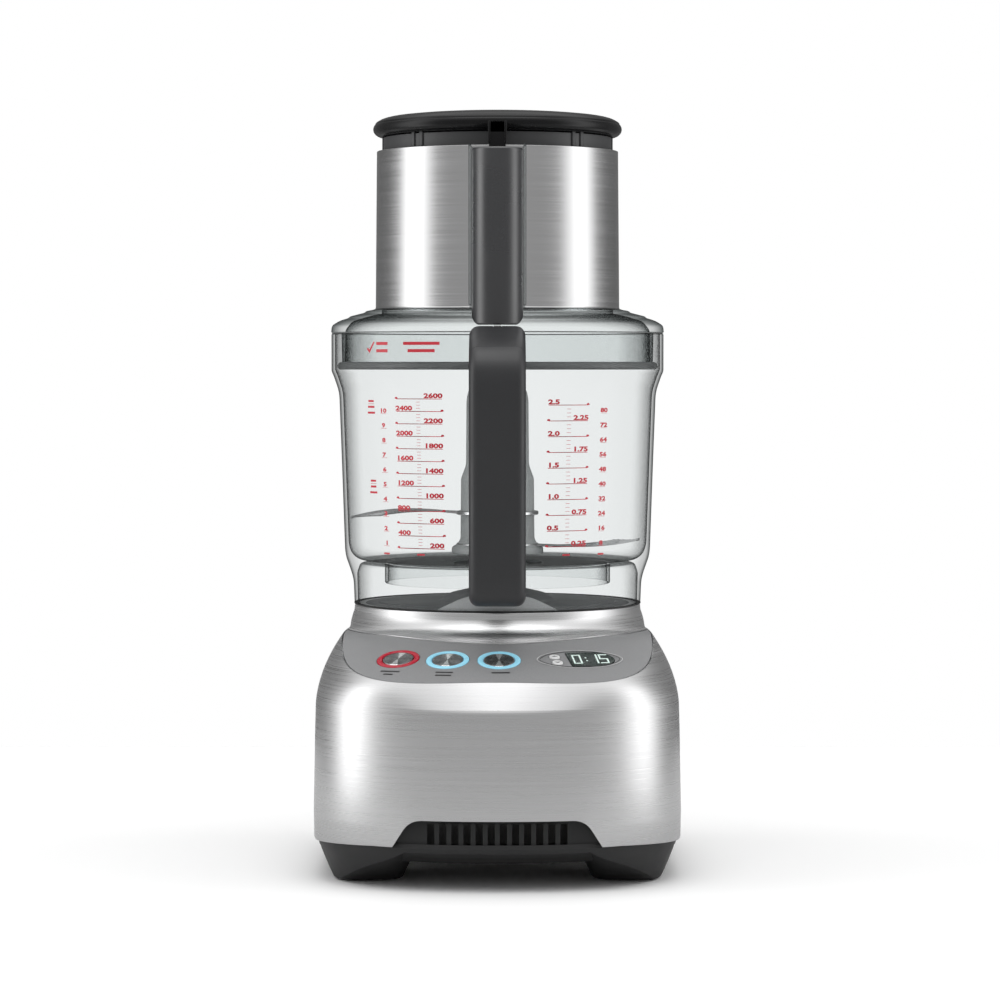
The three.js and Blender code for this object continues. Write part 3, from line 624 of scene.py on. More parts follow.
def make_casing():
    casing = skin("casing", casing_rings(2.4), STEEL, closed=True)
    arch = softened([(-49, 40.6, 7), (49, 40.6, 7), (65, 15), (-65, 15)], steps=8)
    hole = gland_turn("gland_hole", [(0, -20), (9.6, -20), (9.6, 20), (0, 20)])
    carve(casing, upright_prism("arch", arch, BASE_FRONT - 40, BASE_FRONT + 20), hole)
    return fit(casing, "base", "brushed_casing", "base_shell")


# Each foot's distance across and forward.
FOOT_PLACES = {
    "front_left": (-76, 92),
    "front_right": (76, 92),
    "rear_left": (-74, -62),
    "rear_right": (74, -62),
}


def pod_ring(x, forward, half_x, half_forward, height):
    """A rounded level outline about a foot."""
    u, v = superellipse(3.6, 128)
    across, ahead = x + u * half_x, forward + v * half_forward
    return np.stack([across, -ahead, np.full(len(u), float(height))], 1)


def foot_pod(name, x, forward):
    """One foot moulding of the base pan: it narrows to its sole, most of all from the front."""
    side, front = math.copysign(1, x), forward > 0
    wide = (side * 75.5, 116.0 if front else -66.0, 31.0, 50.0)
    sole = (side * 74.0, float(forward), 20.0, 25.0)
    rings = []
    for height in (27, 24, 18, 12, 7, 3, 1.8, 1.2):
        share = (height - 1.2) / 22.8
        rings.append(pod_ring(*(low + (high - low) * share for low, high in zip(sole, wide)), height))
    low = rings[-1].copy()
    centre = low.mean(0)
    low[:, :2] = centre[:2] + (low[:, :2] - centre[:2]) * 0.94
    low[:, 2] = 0.8
    return skin("pod_" + name, rings + [low], BLACK)


def bend_to_front(obj):
    """Bows a straight upright plate to follow the front of the base."""
    for vertex in obj.data.vertices:
        vertex.co.y += (BASE_FRONT - float(front_of(vertex.co.x / MM))) * MM
    obj.data.update()
    return obj


def make_pan():
    """The black under-pan with its four foot mouldings and their rubber soles."""
    rings = [base_section(hem, inset=6), base_section(above_hem(2), inset=3.4)]
    rings += [base_section(above_hem(-0.5), inset=2.6), base_section(above_hem(-3), inset=3.4)]
    rings += [base_section(height, inset=inset) for height, inset in ((15.5, 14), (15, 60), (18.5, 60))]
    pan = skin("base_pan", rings, BLACK)
    limits = ((0, 11), (16, 4.5), (20, 3.2), (26, 3.0))
    envelope = skin("envelope", [base_section(height, inset=inset) for height, inset in limits], BLACK)
    pods = None
    for name, spot in FOOT_PLACES.items():
        pod = foot_pod(name, *spot)
        pods = carve(pods, pod, operation="UNION") if pods else pod
    carve(pods, envelope, operation="INTERSECT")
    carve(pan, pods, operation="UNION")
    fit(pan, "base", "black_plastic", "base_pan", *("rubber_foot_" + name for name in FOOT_PLACES))
    profile = [(0, 0, 0), (11.3, 0, 0.5), (11.8, 1.5, 0.5), (11.8, 4.5), (0, 4.5)]
    for name, (x, forward) in FOOT_PLACES.items():
        sole = turned("sole_" + name, profile, RUBBER, 72)
        place(sole, Matrix.Translation(AXIS + Vector((x, -forward, 0)) * MM))
        fit(sole, "base", "grey_rubber")


def make_grille():
    """The slotted air grille in the front arch, its ribs, and a black sheet behind it as painted shade for
    the dark space inside.
    """
    corners = [(-57, 43), (57, 43), (57, 26, 3), (54, 22.5, 2), (-54, 22.5, 2), (-57, 26, 3)]
    outline = softened(corners, steps=6)
    near, far = BASE_FRONT - 7.2, BASE_FRONT - 5.2
    pieces = [upright_prism("air_grille", outline, near, far)]
    slots = [(x - 2.0, x + 2.0) for x in np.arange(-5.5, 6) * SLOT_PITCH]
    carve(pieces[0], *(block("slot", across, (near - 5, far + 5), (25.5, 38.6)) for across in slots))
    for x in np.arange(-6, 7) * SLOT_PITCH:
        pieces.append(block("rib", (x - 1.3, x + 1.3), (near - 6, near + 0.2), (24, 39)))
    # A black sheet behind the slots: painted shade for the dark inside of the base.
    pieces.append(block("grille_shade_sheet", (-60, 60), (near - 16, near - 14), (22, 46)))
    for piece in pieces:
        fit(bend_to_front(piece), "base", "black_plastic")


def on_panel(ring, drop=0.0):
    """The ring with its heights put back on the panel's slope."""
    ring = ring.copy()
    ring[:, 2] = smooth_minimum(panel_height(ring[:, 0], -ring[:, 1]), 137.3, 2.5) - drop
    return ring


def station(degrees, across=0.0, up=0.0, out=0.0):
    """A frame on the panel's slope at the button row: Z square to the panel and Y up the slope."""
    azimuth = math.radians(degrees)
    x = RING_ROW * math.sin(azimuth)
    forward = RING_ROW * math.cos(azimuth) - PANEL_AXIS_BACK
    origin = AXIS + Vector((x, -forward, panel_height(x, forward))) * MM
    turn = Matrix.Rotation(azimuth, 4, "Z") @ Matrix.Rotation(PANEL_TILT, 4, "X")
    return Matrix.Translation(origin) @ turn @ Matrix.Translation(Vector((across, up, out)) * MM)


BUTTONS = (("power", -17.2), ("start", -8.5), ("pulse", 0.3))
TIMER = 13.2


def display_outline(grow=0.0, steps=22):
    """Straight on the left with small corners, and rounded on the right."""
    left, right, half = -3.2 - grow, 23.8 + grow, 9.6 + grow
    start, control, end = (right - 14, half), (right - 2, half), (right, 0.0)
    arc = []
    for t in np.linspace(0, 1, steps):
        weights = ((1 - t) ** 2, 2 * t * (1 - t), t * t)
        arc.append(tuple(sum(w * p[i] for w, p in zip(weights, (start, control, end))) for i in (0, 1)))
    corner_cut = [(left + 1.2, half), (left + 0.35, half - 0.35), (left, half - 1.2)]
    low = [(x, -y) for x, y in corner_cut[::-1] + arc]
    return low + arc[-2::-1] + corner_cut


def local_plate(name, outline, bottom, top, material, edge=0.0):
    """A plate whose outline is given as [across, up] in a station's own plane."""
    return plate(name, [(x, -y) for x, y in outline], bottom, top, material, edge)


def make_panel():
    rings = []
    outer, inner = panel_outline(1.0), neck_foot(panel_outline())
    inner[:, :2] *= 1 + 0.9 / np.hypot(inner[:, 0], inner[:, 1])[:, None]
    for drop, share in ((1.8, 0.0), (0.35, 0.0), (0.1, 0.004)):
        rings.append(on_panel(between(outer, inner, share), drop))
    for share in (0.2, 0.4, 0.6, 0.8, 0.996):
        rings.append(on_panel(between(outer, inner, share), 0.1))
    rings += [on_panel(inner, 0.35), on_panel(inner, 1.8)]
    panel = skin("panel", rings, PANEL_GREY, closed=True)
    for _, degrees in BUTTONS:
        hole = turned("hole", [(0, -5), (12.5, -5), (12.5, 5), (0, 5)], PANEL_GREY, 96)
        carve(panel, place(hole, station(degrees)))
    carve(panel, place(local_plate("hole", display_outline(0.3), -5, 5, PANEL_GREY), station(TIMER)))
    for up in (3.9, -3.9):
        hole = turned("hole", [(0, -5), (3.5, -5), (3.5, 5), (0, 5)], PANEL_GREY, 48)
        carve(panel, place(hole, station(TIMER, -10.5, up)))
    fit(panel, "base", "panel_grey", "control_panel")
    for grow in (0.0, 1.6):
        material = LINE_LIGHT if grow else LINE_DARK
        stripe = lens_line("pod_line", 23.2 + grow, 10.6 + grow * 0.8, 0.28, material)
        place(stripe, station(TIMER, 3.4))
        fit(stripe, "base", "panel_grey")


def lens_line(name, half_x, half_y, width, material, steps=160):
    """A thin printed line round a pointed oval."""
    angles = np.arange(steps) * 2 * math.pi / steps
    rings = []
    for grow, height in ((0, 0.02), (0, 0.16), (width, 0.16), (width, 0.02)):
        x = (half_x + grow) * np.sign(np.cos(angles)) * abs(np.cos(angles)) ** 0.92
        y = (half_y + grow) * np.sign(np.sin(angles)) * abs(np.sin(angles)) ** 1.18
        rings.append(np.stack([x, y, np.full(steps, height)], 1))
    return skin(name, rings, material, closed=True)


def make_buttons():
    for name, degrees in BUTTONS:
        light = RED_LIGHT if name == "power" else BLUE_LIGHT
        rim = [
            (9.25, -2.8), (9.25, 0.1, 0.2), (9.8, 0.38, 0.3), (11.6, 0.38, 0.3), (12.2, 0.0, 0.2),
            (12.2, -2.8),
        ]
        ring = turned(name + "_light", rim, light, 96)
        place(ring, station(degrees))
        fit(ring, "base", "red_light" if name == "power" else "blue_light", name + "_ring")
        profile = [
            (0, 0.05), (6.2, 0.13), (8.2, 0.26, 0.3), (8.85, 0.1, 0.4), (8.9, -1.7), (3, -1.8),
            (3, -8.2), (0, -8.2),
        ]
        key = turned(name + "_key", profile, SPUN_METAL, 128)
        place(key, station(degrees))
        fit(key, name + "_key", "spun_button", name + "_button")
    for name, up in (("time_up", 3.9), ("time_down", -3.9)):
        profile = [(0, 0.3), (2.6, 0.3, 0.3), (3.15, 0.1, 0.2), (3.15, -6.9), (0, -6.9)]
        key = turned(name + "_dot", profile, WHITE_PLASTIC, 64)
        place(key, station(TIMER, -10.5, up))
        fit(key, name + "_key", "pale_plastic", name + "_button")
        tip = math.copysign(1, up)
        arrow = [(-1.9, -0.55 * tip), (0, 0.95 * tip), (1.9, -0.55 * tip), (0, -0.1 * tip)]
        mark = local_plate(name + "_mark", arrow, 0.25, 0.34, INK)
        place(mark, station(TIMER, -10.5, up))
        fit(mark, name + "_key", "black_plastic")


def make_labels():
    """Plain printed bars under the buttons, where the machine has words."""
    for degrees, lengths in ((-17.2, (11.2, 5.4)), (-8.5, (9.8, 9.0)), (0.3, (10.2,))):
        for row, length in enumerate(lengths):
            outline = [(-length / 2, -0.75), (length / 2, -0.75), (length / 2, 0.75), (-length / 2, 0.75)]
            label = local_plate("button_label", outline, 0.0, 0.1, LINE_DARK)
            place(label, station(degrees, 0.8, -17.4 - 4.0 * row, -0.02))
            fit(label, "base", "panel_grey")


def seven_segments(digit, x, height, width, thick):
    """The outlines of a seven-segment digit whose lower left corner is at x, 0."""
    lit = {"0": "abcdef", "1": "bc", "5": "acdfg"}[digit]
    middle = height / 2
    bars = {
        "a": (0, height - thick, width, height),
        "b": (width - thick, middle, width, height),
        "c": (width - thick, 0, width, middle),
        "d": (0, 0, width, thick),
        "e": (0, 0, thick, middle),
        "f": (0, middle, thick, height),
        "g": (0, middle - thick / 2, width, middle + thick / 2),
    }
    gap = 0.14
    outlines = []
    slant = 0.06
    for name in lit:
        x0, y0, x1, y1 = bars[name]
        x0, x1, y0, y1 = x0 + gap, x1 - gap, y0 + gap, y1 - gap
        outlines.append([(x + a + slant * b, b) for a, b in ((x0, y0), (x1, y0), (x1, y1), (x0, y1))])
    return outlines


def make_display():
    face = local_plate("lcd_face", display_outline(-0.05), -2.2, 0.12, LCD_GREEN, 0.15)
    place(face, station(TIMER))
    fit(face, "base", "display", "lcd_window")
    outlines = []
    for digit, x in (("0", -1.4), ("1", 8.2), ("5", 14.2)):
        outlines += seven_segments(digit, x, 12.4, 5.4, 1.25)
    outlines += [[(6.6, y), (7.5, y), (7.5, y + 1.1), (6.6, y + 1.1)] for y in (3.4, 7.4)]
    for outline in outlines:
        bar = local_plate("lcd_segment", [(x, y - 6.4) for x, y in outline], 0.1, 0.2, LCD_WHITE)
        place(bar, station(TIMER))
        fit(bar, "base", "display")


# ---------- Bowl and lid ----------

BOWL_WALL = [
    (86.3, 165), (87.5, 169.8, 2), (90.9, 179.4, 2), (91.5, 184, 2), (93.3, 237), (94.8, 277.8, 4),
    (98.1, 287.4, 2), (99.4, 290.2, 1.2),
]


def wall_radius(height):
    """The outside radius of the bowl's tapering wall and of its collar."""
    return float(np.interp(height, [184, 237, 277.8, 290.2], [91.5, 93.3, 94.8, 99.4]))


def make_bowl():
    outside = [(85.8, 152), (86.3, 165, 3)] + BOWL_WALL[1:] + [(99.4, 312.6, 0.8)]
    inner = [
        (97.3, 312.6, 0.8), (97.3, 291, 1), (95.9, 287.8, 2), (92.6, 278, 4), (89.3, 187, 2),
        (87.6, 181.2, 3), (83, 177.6, 3), (13, 177.6, 1), (13, 225, 1), (10.5, 225), (10.5, 175.4),
        (66, 175.4), (66, 163.5, 0.8), (67.6, 163.5, 0.8), (67.6, 175.4), (82.4, 175.4, 2),
        (84.2, 169.8, 1), (83.8, 152),
    ]
    bowl = turned("bowl", outside + inner, CLEAR)
    fit(bowl, "bowl_assembly", "clear_plastic", "bowl")


def make_lid():
    profile = [
        (69.2, 420.4, 0.5), (70.8, 420.4, 0.5), (71.2, 328.4, 1), (74.5, 326.9, 1), (78.6, 326.2, 1),
        (79.6, 325.2, 0.8), (88.2, 323.0, 1), (89.2, 322.0, 0.8), (94.6, 320.4, 3),
        (99.2, 317.4, 1.5), (99.6, 313.4, 0.6), (93.4, 313.2, 0.5), (93, 292.4, 0.5),
        (91.4, 292.4, 0.5), (91.2, 314.8, 2), (87, 320, 2), (78, 322.8), (71, 324.4, 1),
        (69.2, 324.4, 0.5),
    ]
    lid = turned("lid", profile, CLEAR_LID)
    fit(lid, "lid_assembly", "clear_plastic", "lid")
    rim = turned("rim_line", [(97.6, 312.75), (99.3, 312.75), (99.3, 313.2), (97.6, 313.2)], SEAL)
    fit(rim, "lid_assembly", "grey_rubber")
    lip = [(93.1, 296, 0.6), (95.2, 295.2, 0.8), (96.0, 292.8, 0.8), (94.6, 291.2, 0.6), (93.1, 291.4)]
    seal = turned("lid_seal", lip, SEAL)
    fit(seal, "lid_assembly", "grey_rubber", "lid_seal")
    sheet = [
        (71.3, 421.2, 0.4), (72.1, 421.2, 0.4), (72.9, 328, 0.5), (73.4, 327.2, 0.3),
        (71.8, 327.2, 0.3),
    ]
    band = turned("chute_band", sheet, BAND_STEEL, 256)
    fit(band, "lid_assembly", "brushed_casing", "chute_band")


def wrapped(name, shapes, azimuth, height, material, lift=0.12, thick=0.12):
    """Flat [across, up] shapes wrapped on the outside of the bowl, as one printed piece."""
    points, faces = [], []
    for outline in shapes:
        start, count = len(points), len(outline)
        for depth in (0, thick):
            for across, up in outline:
                z = height + up
                radius = wall_radius(z) + lift + depth
                angle = math.radians(azimuth) + across / wall_radius(z)
                points.append((radius * math.sin(angle), -radius * math.cos(angle), z))
        near, far = list(range(start, start + count)), list(range(start + count, start + 2 * count))
        faces += [tuple(near), tuple(far)]
        faces += [(near[i - 1], near[i], far[i], far[i - 1]) for i in range(count)]
    return new_object(name, points, faces, material)


def bar(x0, x1, y0, y1, steps=6):
    low = [(x, y0) for x in np.linspace(x0, x1, steps)]
    return low + [(x, y1) for x, _ in reversed(low)]


def number_mesh(text, size, wide=1.6):
    """The filled letter shapes of a number, as [across, up] triangles, with its overall width."""
    curve = bpy.data.curves.new("number", "FONT")
    curve.body = text
    curve.size = size
    curve.resolution_u = 2
    curve.offset = size * 0.05
    obj = link(bpy.data.objects.new("number", curve))
    mesh = obj.evaluated_get(bpy.context.evaluated_depsgraph_get()).to_mesh()
    points = np.array([(v.co.x * wide, v.co.y) for v in mesh.vertices])
    faces = [tuple(face.vertices) for face in mesh.polygons]
    bpy.data.objects.remove(obj)
    bpy.data.curves.remove(curve)
    return points, faces, points[:, 0].max()


def number(text, azimuth, height, size, align, material):
    """A number printed on the bowl: align 0 starts at the azimuth, 0.5 centres on it, 1 ends there."""
    points, faces, width = number_mesh(text, size)
    placed = []
    for across, up in points:
        z = height + up
        radius = wall_radius(z) + 0.24
        angle = math.radians(azimuth) + (across - width * align) / radius
        placed.append((radius * math.sin(angle), -radius * math.cos(angle), z))
    mark = new_object("number_" + text.replace(".", "_"), placed, faces, material)
    return fit(mark, "bowl_assembly", "red_light")


def print_on_bowl(name, shapes, azimuth, height):
    fit(wrapped(name, shapes, azimuth, height, RED_PRINT), "bowl_assembly", "red_light")


def make_scale(azimuth, half, rungs, low, pitch, labels, minor):
    """A ladder of long marks whose numbers sit at alternate ends, with short marks between."""
    marks = []
    for i in range(rungs):
        up = i * pitch
        marks.append(bar(-half, half, up - 0.2, up + 0.2))
        left = i % 2 == 1
        end = half if left else -half
        tip = ((-0.9, 0), (0.9, 0), (0.9, 0.8), (0, 1.2), (-0.9, 0.8))
        marks.append([(end + across, up + rise) for across, rise in tip])
        if i < rungs - 1:
            for share in np.arange(1, minor + 1) / (minor + 1):
                marks.append(bar(-1.3, 1.3, up + pitch * share - 0.11, up + pitch * share + 0.11, 2))
        side = azimuth + math.degrees((-half if left else half) / wall_radius(low))
        number(labels[i], side, low + up + 0.6, 3.7, 0 if left else 1, RED_PRINT)
    print_on_bowl("scale", marks, azimuth, low)


def make_side_scale(azimuth, values, low, pitch):
    marks = []
    for i, value in enumerate(values):
        marks.append(bar(-2.3, 2.3, i * pitch - 0.1, i * pitch + 0.1, 3))
        number(str(value), azimuth, low + i * pitch + 0.6, 3.4, 0.5, RED_PRINT)
    print_on_bowl("side_scale", marks, azimuth, low)


def word_bars(lengths, pitch, half, steps):
    """Plain bars one under another, in place of lines of words."""
    return [
        bar(-length / 2, length / 2, -pitch * i - half, -pitch * i + half, steps)
        for i, length in enumerate(lengths)
    ]


def make_graduations():
    """Red printed scales on the bowl: numbers and marks, with plain bars in place of words."""
    make_scale(-28.9, 15.3, 13, 187.9, 7.21, [str(200 * (i + 1)) for i in range(13)], 3)
    make_side_scale(-44.5, range(1, 11), 188.8, 8.55)
    litres = ["0.25", "0.5", "0.75", "1.0", "1.25", "1.5", "1.75", "2.0", "2.25", "2.5"]
    make_scale(25.9, 12.7, 10, 189.2, 9.08, litres, 3)
    make_side_scale(40.8, range(8, 88, 8), 189.2, 8.55)
    for height, lengths in ((273, (5.0, 6.0, 6.8)), (226.5, (5.0, 5.2, 6.8))):
        bars = word_bars(lengths, 3.4, 0.6, 3)
        print_on_bowl("limit_marks", bars + [bar(-2.6, 2.6, -1.75, -1.5, 3)], -51, height)
    for azimuth, length in ((-28.8, 5), (-44.5, 4.6), (25.6, 4.6), (40.8, 4.4)):
        print_on_bowl("unit_bar", [bar(-length / 2, length / 2, -4.6, -3.6, 4)], azimuth, 188.5)
    for azimuth, lengths in ((-26.2, (23.5, 17.5)), (-42.2, (9.0, 9.0))):
        print_on_bowl("collar_bars", word_bars(lengths, 4.2, 0.9, 12), azimuth, 306.4)
    tick = [(-3.4, 0.6), (-2.6, 1.4), (-1.2, 0.2), (2.6, 5.0), (3.4, 4.6), (-1.0, -1.6)]
    print_on_bowl("tick", [tick], -47.6, 302.6)


# ---------- Handle, column and pushers ----------


def side_prism(name, outline, half, material, round_over=0.0):
    """A prism across the machine from a [forward, height, softening] outline, its side edges rounded."""
    flat = softened(outline, steps=8)
    obj = skin(name, [np.array([(x, -f, z) for f, z in flat]) for x in (-half, half)], material)
    if round_over:
        bevelled(obj, round_over, 6, 60)
        mark_edges(obj.data)
    return obj


def make_handle():
    outline = [
        (84, 316.2), (106, 316.2, 6), (127, 309.8, 12), (143, 301.8, 14), (150, 291, 12),
        (150, 173, 14), (145.5, 158.3, 9), (84, 158.3), (84, 177.5), (116, 177.5, 6), (124.4, 185, 7),
        (124.4, 276, 9), (116, 287.4, 7), (84, 287.4),
    ]
    clearance = [
        (0, 140), (86.4, 140), (86.8, 165), (88, 169.8), (91.4, 179.4), (92, 184), (93.8, 237),
        (95.3, 277.8), (98.6, 287.4), (99.8, 289.5), (100.1, 313), (100.1, 330), (0, 330),
    ]
    for name, near, far in (("handle_frame", 60, 137.4), ("handle_cover", 137.6, 200)):
        piece = side_prism(name, outline, 16.0, SOFT_DARK, 5.5)
        keep = block("keep", (-40, 40), (near, far), (100, 360))
        carve(piece, keep, operation="INTERSECT")
        if near < 100:
            rod_way = block("rod_way", (-2.6, 2.6), (99.5, 104.4), (293, 320))
            carve(piece, turned("clearance", clearance, SOFT_DARK, 160), rod_way)
        piece.visible_glossy = False
        fit(piece, "bowl_assembly", "dark_plastic", name)
    shim = block("handle_gasket", (-14.6, 14.6), (120, 137.8), (166, 292), BLACK, 2)
    inset = [(126, 180, 6), (146, 176, 8), (146, 290, 8), (126, 284, 6)]
    carve(shim, side_prism("keep", inset, 20, BLACK), operation="INTERSECT")
    fit(shim, "bowl_assembly", "dark_plastic")


def column_outline(half, front, back, steps=40):
    """Straight sides and a half-round front."""
    turns = np.linspace(math.pi / 2, -math.pi / 2, steps)
    arc = [(half * math.sin(t), front - half + half * math.cos(t)) for t in turns]
    return [(-half, back), (half, back)] + arc


def make_column():
    post = plate("rod_column", column_outline(14.7, 105.9, 66), 316.9, 418.2, COLUMN_PLASTIC, 0.0)
    clearance = [
        (0, 300), (100, 300), (100, 316.9), (99.6, 318), (95, 321), (89.6, 322.8), (80, 326),
        (75, 327.4), (73.7, 328), (72.6, 421), (72.6, 430), (0, 430),
    ]
    bevelled(post, 1.4, 4)
    carve(post, turned("clearance", clearance, COLUMN_PLASTIC, 160),
          block("rod_way", (-5.6, 5.6), (79.9, 85.5), (399.5, 425)))
    fit(post, "lid_assembly", "dark_plastic", "rod_column")
    for side in (-1, 1):
        level = [(side * 15.0, 70), (side * 16.6, 70), (side * 16.6, 95, 1), (side * 15.0, 97, 1)]
        flank = plate("column_flank", softened(level), 328.6, 420.4, CLEAR_LID, 0.3)
        carve(flank, turned("clearance", clearance, CLEAR_LID, 160))
        fit(flank, "lid_assembly", "clear_plastic")


def make_pushers():
    tub = [
        (27.6, 330.4), (67.9, 330.4, 1), (68.1, 429.2), (65.6, 429.2), (65.4, 333), (30, 333),
        (29.9, 429.2), (27.6, 429.2),
    ]
    body = turned("pusher_body", tub, PUSHER_GREY)
    fit(body, "large_pusher", "dark_plastic", "pusher_body")
    for degrees in (-46, -40.5, 40.5, 46, 90, 135, 180, 225, 270):
        rib = block("pusher_rib", (-1.4, 1.4), (66.5, 68.9), (421.5, 430.4), PUSHER_GREY, 0.6)
        place(rib, Matrix.Translation(AXIS) @ Matrix.Rotation(math.radians(degrees), 4, "Z"))
        fit(rib, "large_pusher", "dark_plastic")
    profile = [
        (28.2, 429.6), (66, 429.6, 1), (71.6, 430.2, 2), (74.0, 432.4, 1.4), (74.4, 434.8, 1.2),
        (73.7, 436.6, 0.5), (73.2, 437.0, 0.3), (72.8, 438.2, 1), (69.5, 440.2, 3), (65, 441.4, 3),
        (53, 442.7, 4), (36, 443.5, 2), (31.8, 443.7, 0.4), (31.4, 443.0, 0.3), (31.4, 440.5),
        (28.2, 440.5),
    ]
    rim = turned("pusher_cap", profile, CAP_BLACK, 256)
    fit(rim, "large_pusher", "black_cap", "pusher_cap")
    for name, near, low in (("hook_arm", 66, 427.6), ("hook_leg", 80.8, 408.5)):
        hook = block(name, (-4.9, 4.9), (near, 84.4), (low, 434), CAP_BLACK, 1.0)
        fit(hook, "large_pusher", "black_cap")
    for side in (-1, 1):
        across = (side * 4.7 - 0.7, side * 4.7 + 0.7)
        rib = block("hook_rib", across, (80.3, 85.1), (421, 434), CAP_BLACK, 0.5)
        fit(rib, "large_pusher", "black_cap")
    cup = [
        (0, 443.5), (28.5, 443.6), (30.7, 443.3, 0.6), (31, 442.6, 0.3), (31, 440.8), (26.9, 440.8),
        (26.7, 330.6), (24.5, 330.6), (24.4, 438.2), (0, 438.2),
    ]
    small = turned("small_pusher", cup, CAP_BLACK)
    fit(small, "inner_pusher", "black_cap", "small_pusher")


# ---------- Blade ----------


def make_blade_hub():
    profile = [
        (0, 281.9), (13.5, 281.9, 1), (17, 280, 2.5), (18.6, 274, 3), (18.9, 234, 2),
        (21.9, 226, 1.5), (22.2, 190, 1), (23.8, 187, 1.5), (27.4, 184.8, 1), (27.6, 181.2, 0.5),
        (13.8, 181.2), (13.6, 226), (0, 226),
    ]
    hub = turned("blade_hub", profile, HUB_GREY, 128)
    socket = turned("socket", [(0, 170), (9.7, 170), (9.7, 263), (0, 263)], HUB_GREY, 6)
    carve(hub, socket)
    fit(hub, "blade", "dark_plastic", "blade_hub")


def blade_leaf(name, height, turn, rise, tip_rise, pitch):
    """A sickle-shaped blade that sweeps back along its length, its front edge ground thin and toothed."""
    rings = []
    for share in np.linspace(0, 1, 90):
        along = 21.5 + 65.3 * share
        middle = -4 + 17 * share**2.2
        width = 19 - 3 * share - 14.5 * share**5
        z = height + rise * math.sin(math.pi * share * 0.9) + tip_rise * share**4
        tooth = 0.7 * abs(((share * 22) % 1) - 0.5) if 0.25 < share < 0.93 else 0.35
        back, front = middle + width / 2, middle - width / 2 + tooth
        low = z - pitch * share * min(1.0, 4 * (1 - share))
        ground = low + (z - low) * 3.2 / width
        section = [
            (front, low + 0.75), (front + 3.2, ground + 0.15), (back, z),
            (back, z + 1.5), (front + 3.2, ground + 1.4), (front, low + 0.95),
        ]
        rings.append(np.array([(along, across, up) for across, up in section]))
    obj = skin(name, rings, BLADE_STEEL)
    about = Matrix.Translation(AXIS) @ Matrix.Rotation(turn, 4, "Z")
    return place(obj, about)


def make_blades():
    lower = blade_leaf("lower_leaf", 185.2, 0.05, -1.2, 3.0, -4.5)
    fit(lower, "blade", "blade_steel", "lower_blade")
    upper = blade_leaf("upper_leaf", 204.6, math.pi - 0.05, 2.4, -3.2, 4.5)
    fit(upper, "blade", "blade_steel", "upper_blade")
    for height in (186.2, 205.4):
        profile = [
            (22.1, height - 1.4, 0.4), (24.6, height - 1, 0.5), (24.6, height + 1, 0.5),
            (22.1, height + 1.4, 0.4),
        ]
        collar = turned("blade_collar", profile, BLADE_STEEL, 96)
        fit(collar, "blade", "blade_steel")


# ---------- Deck, spindle and pieces inside ----------


def make_deck():
    """The dark top of the base under the bowl, a thin black ring of painted shadow where the bowl stands,
    and the pale dome over the interlock switch.
    """
    profile = [
        (14.6, 151.3), (79, 151.3), (79, 151.7, 0.3), (72, 151.9, 1), (71, 152.7, 0.6), (34, 153, 3),
        (30, 157, 4), (17, 160, 3), (14.6, 160, 0.4),
    ]
    deck = turned("deck", profile, DECK_GREY)
    fit(deck, "base", "brushed_casing")
    # A thin black ring where the bowl stands on the deck: a painted contact shadow.
    line = turned("bowl_foot_shadow_ring", [(83.2, 151.4), (85.9, 151.4), (86.0, 151.9), (83.2, 151.9)], BLACK)
    fit(line, "base", "grey_rubber")
    profile = [
        (0, 151.5), (35, 151.5), (34.2, 152.4, 1), (27, 156, 6), (19, 159.6, 5), (6, 160.2, 2),
        (4.8, 159.8, 0.3), (4.8, 155), (0, 155),
    ]
    dome = turned("interlock_dome", profile, DOME_GREY, 128)
    place(dome, Matrix.Translation(AXIS + Vector((0, -76, 0)) * MM))
    envelope = turned("envelope", [(0, 150), (82.6, 150), (82.6, 170), (0, 170)], DOME_GREY)
    carve(dome, envelope, operation="INTERSECT")
    fit(dome, "base", "pale_plastic")


def make_spindle():
    """The steel drive spindle: round below, with a hexagonal head that fits the blade's hub."""
    profile = [(6.4, 140.4), (9, 140.4), (9, 223, 0.5), (0, 223), (0, 150.5), (6.4, 150.5)]
    post = turned("drive_post", profile, SHAFT_STEEL, 96)
    fit(post, "rotor", "hardware_steel", "drive_spindle")
    turns = np.arange(6) * math.pi / 3 + math.pi / 2
    corners = [(9 * math.sin(turn), 9 * math.cos(turn), 0.8) for turn in turns]
    head = plate("drive_head", softened(corners), 222.9, 261.9, SHAFT_STEEL, 0.7)
    fit(head, "rotor", "hardware_steel")


def coil_spring(name, body, forward, radius, low, high, turns, wire=0.5):
    """A steel coil between two heights, on its body, in place of the imported spring of that name."""
    rings = []
    up = np.array([0, 0, 1])
    bend = np.linspace(0, 2 * math.pi, 12, endpoint=False)
    for share in np.linspace(0, 1, turns * 20 + 1):
        turn = 2 * math.pi * turns * share
        height = low + wire + (high - low - 2 * wire) * share
        outward = np.array([math.sin(turn), -math.cos(turn), 0.0])
        centre = radius * outward + np.array([0.0, -forward, height])
        ring = [centre + wire * (math.cos(b) * outward + math.sin(b) * up) for b in bend]
        rings.append(np.array(ring))
    spring = fit(skin(name + "_coil", rings, SCREW_STEEL), body, "hardware_steel", name)
    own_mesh(spring)


def make_springs():
    coil_spring("plunger_spring", "base", 77, 4.8, 133.8, 144.9, 4)
    coil_spring("handle_spring", "bowl_assembly", 133.5, 3.55, 200.3, 227.7, 11)
    coil_spring("column_spring", "lid_assembly", 82.7, 3.6, 372.3, 391.7, 9)


def dress_inner_pieces():
    """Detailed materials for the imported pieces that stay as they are, nearly all of them inside."""
    for pieces, material in INNER_MATERIALS:
        for name in pieces.split():
            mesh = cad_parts[name].data
            mesh.materials.clear()
            mesh.materials.append(material)


# ---------- Studio ----------


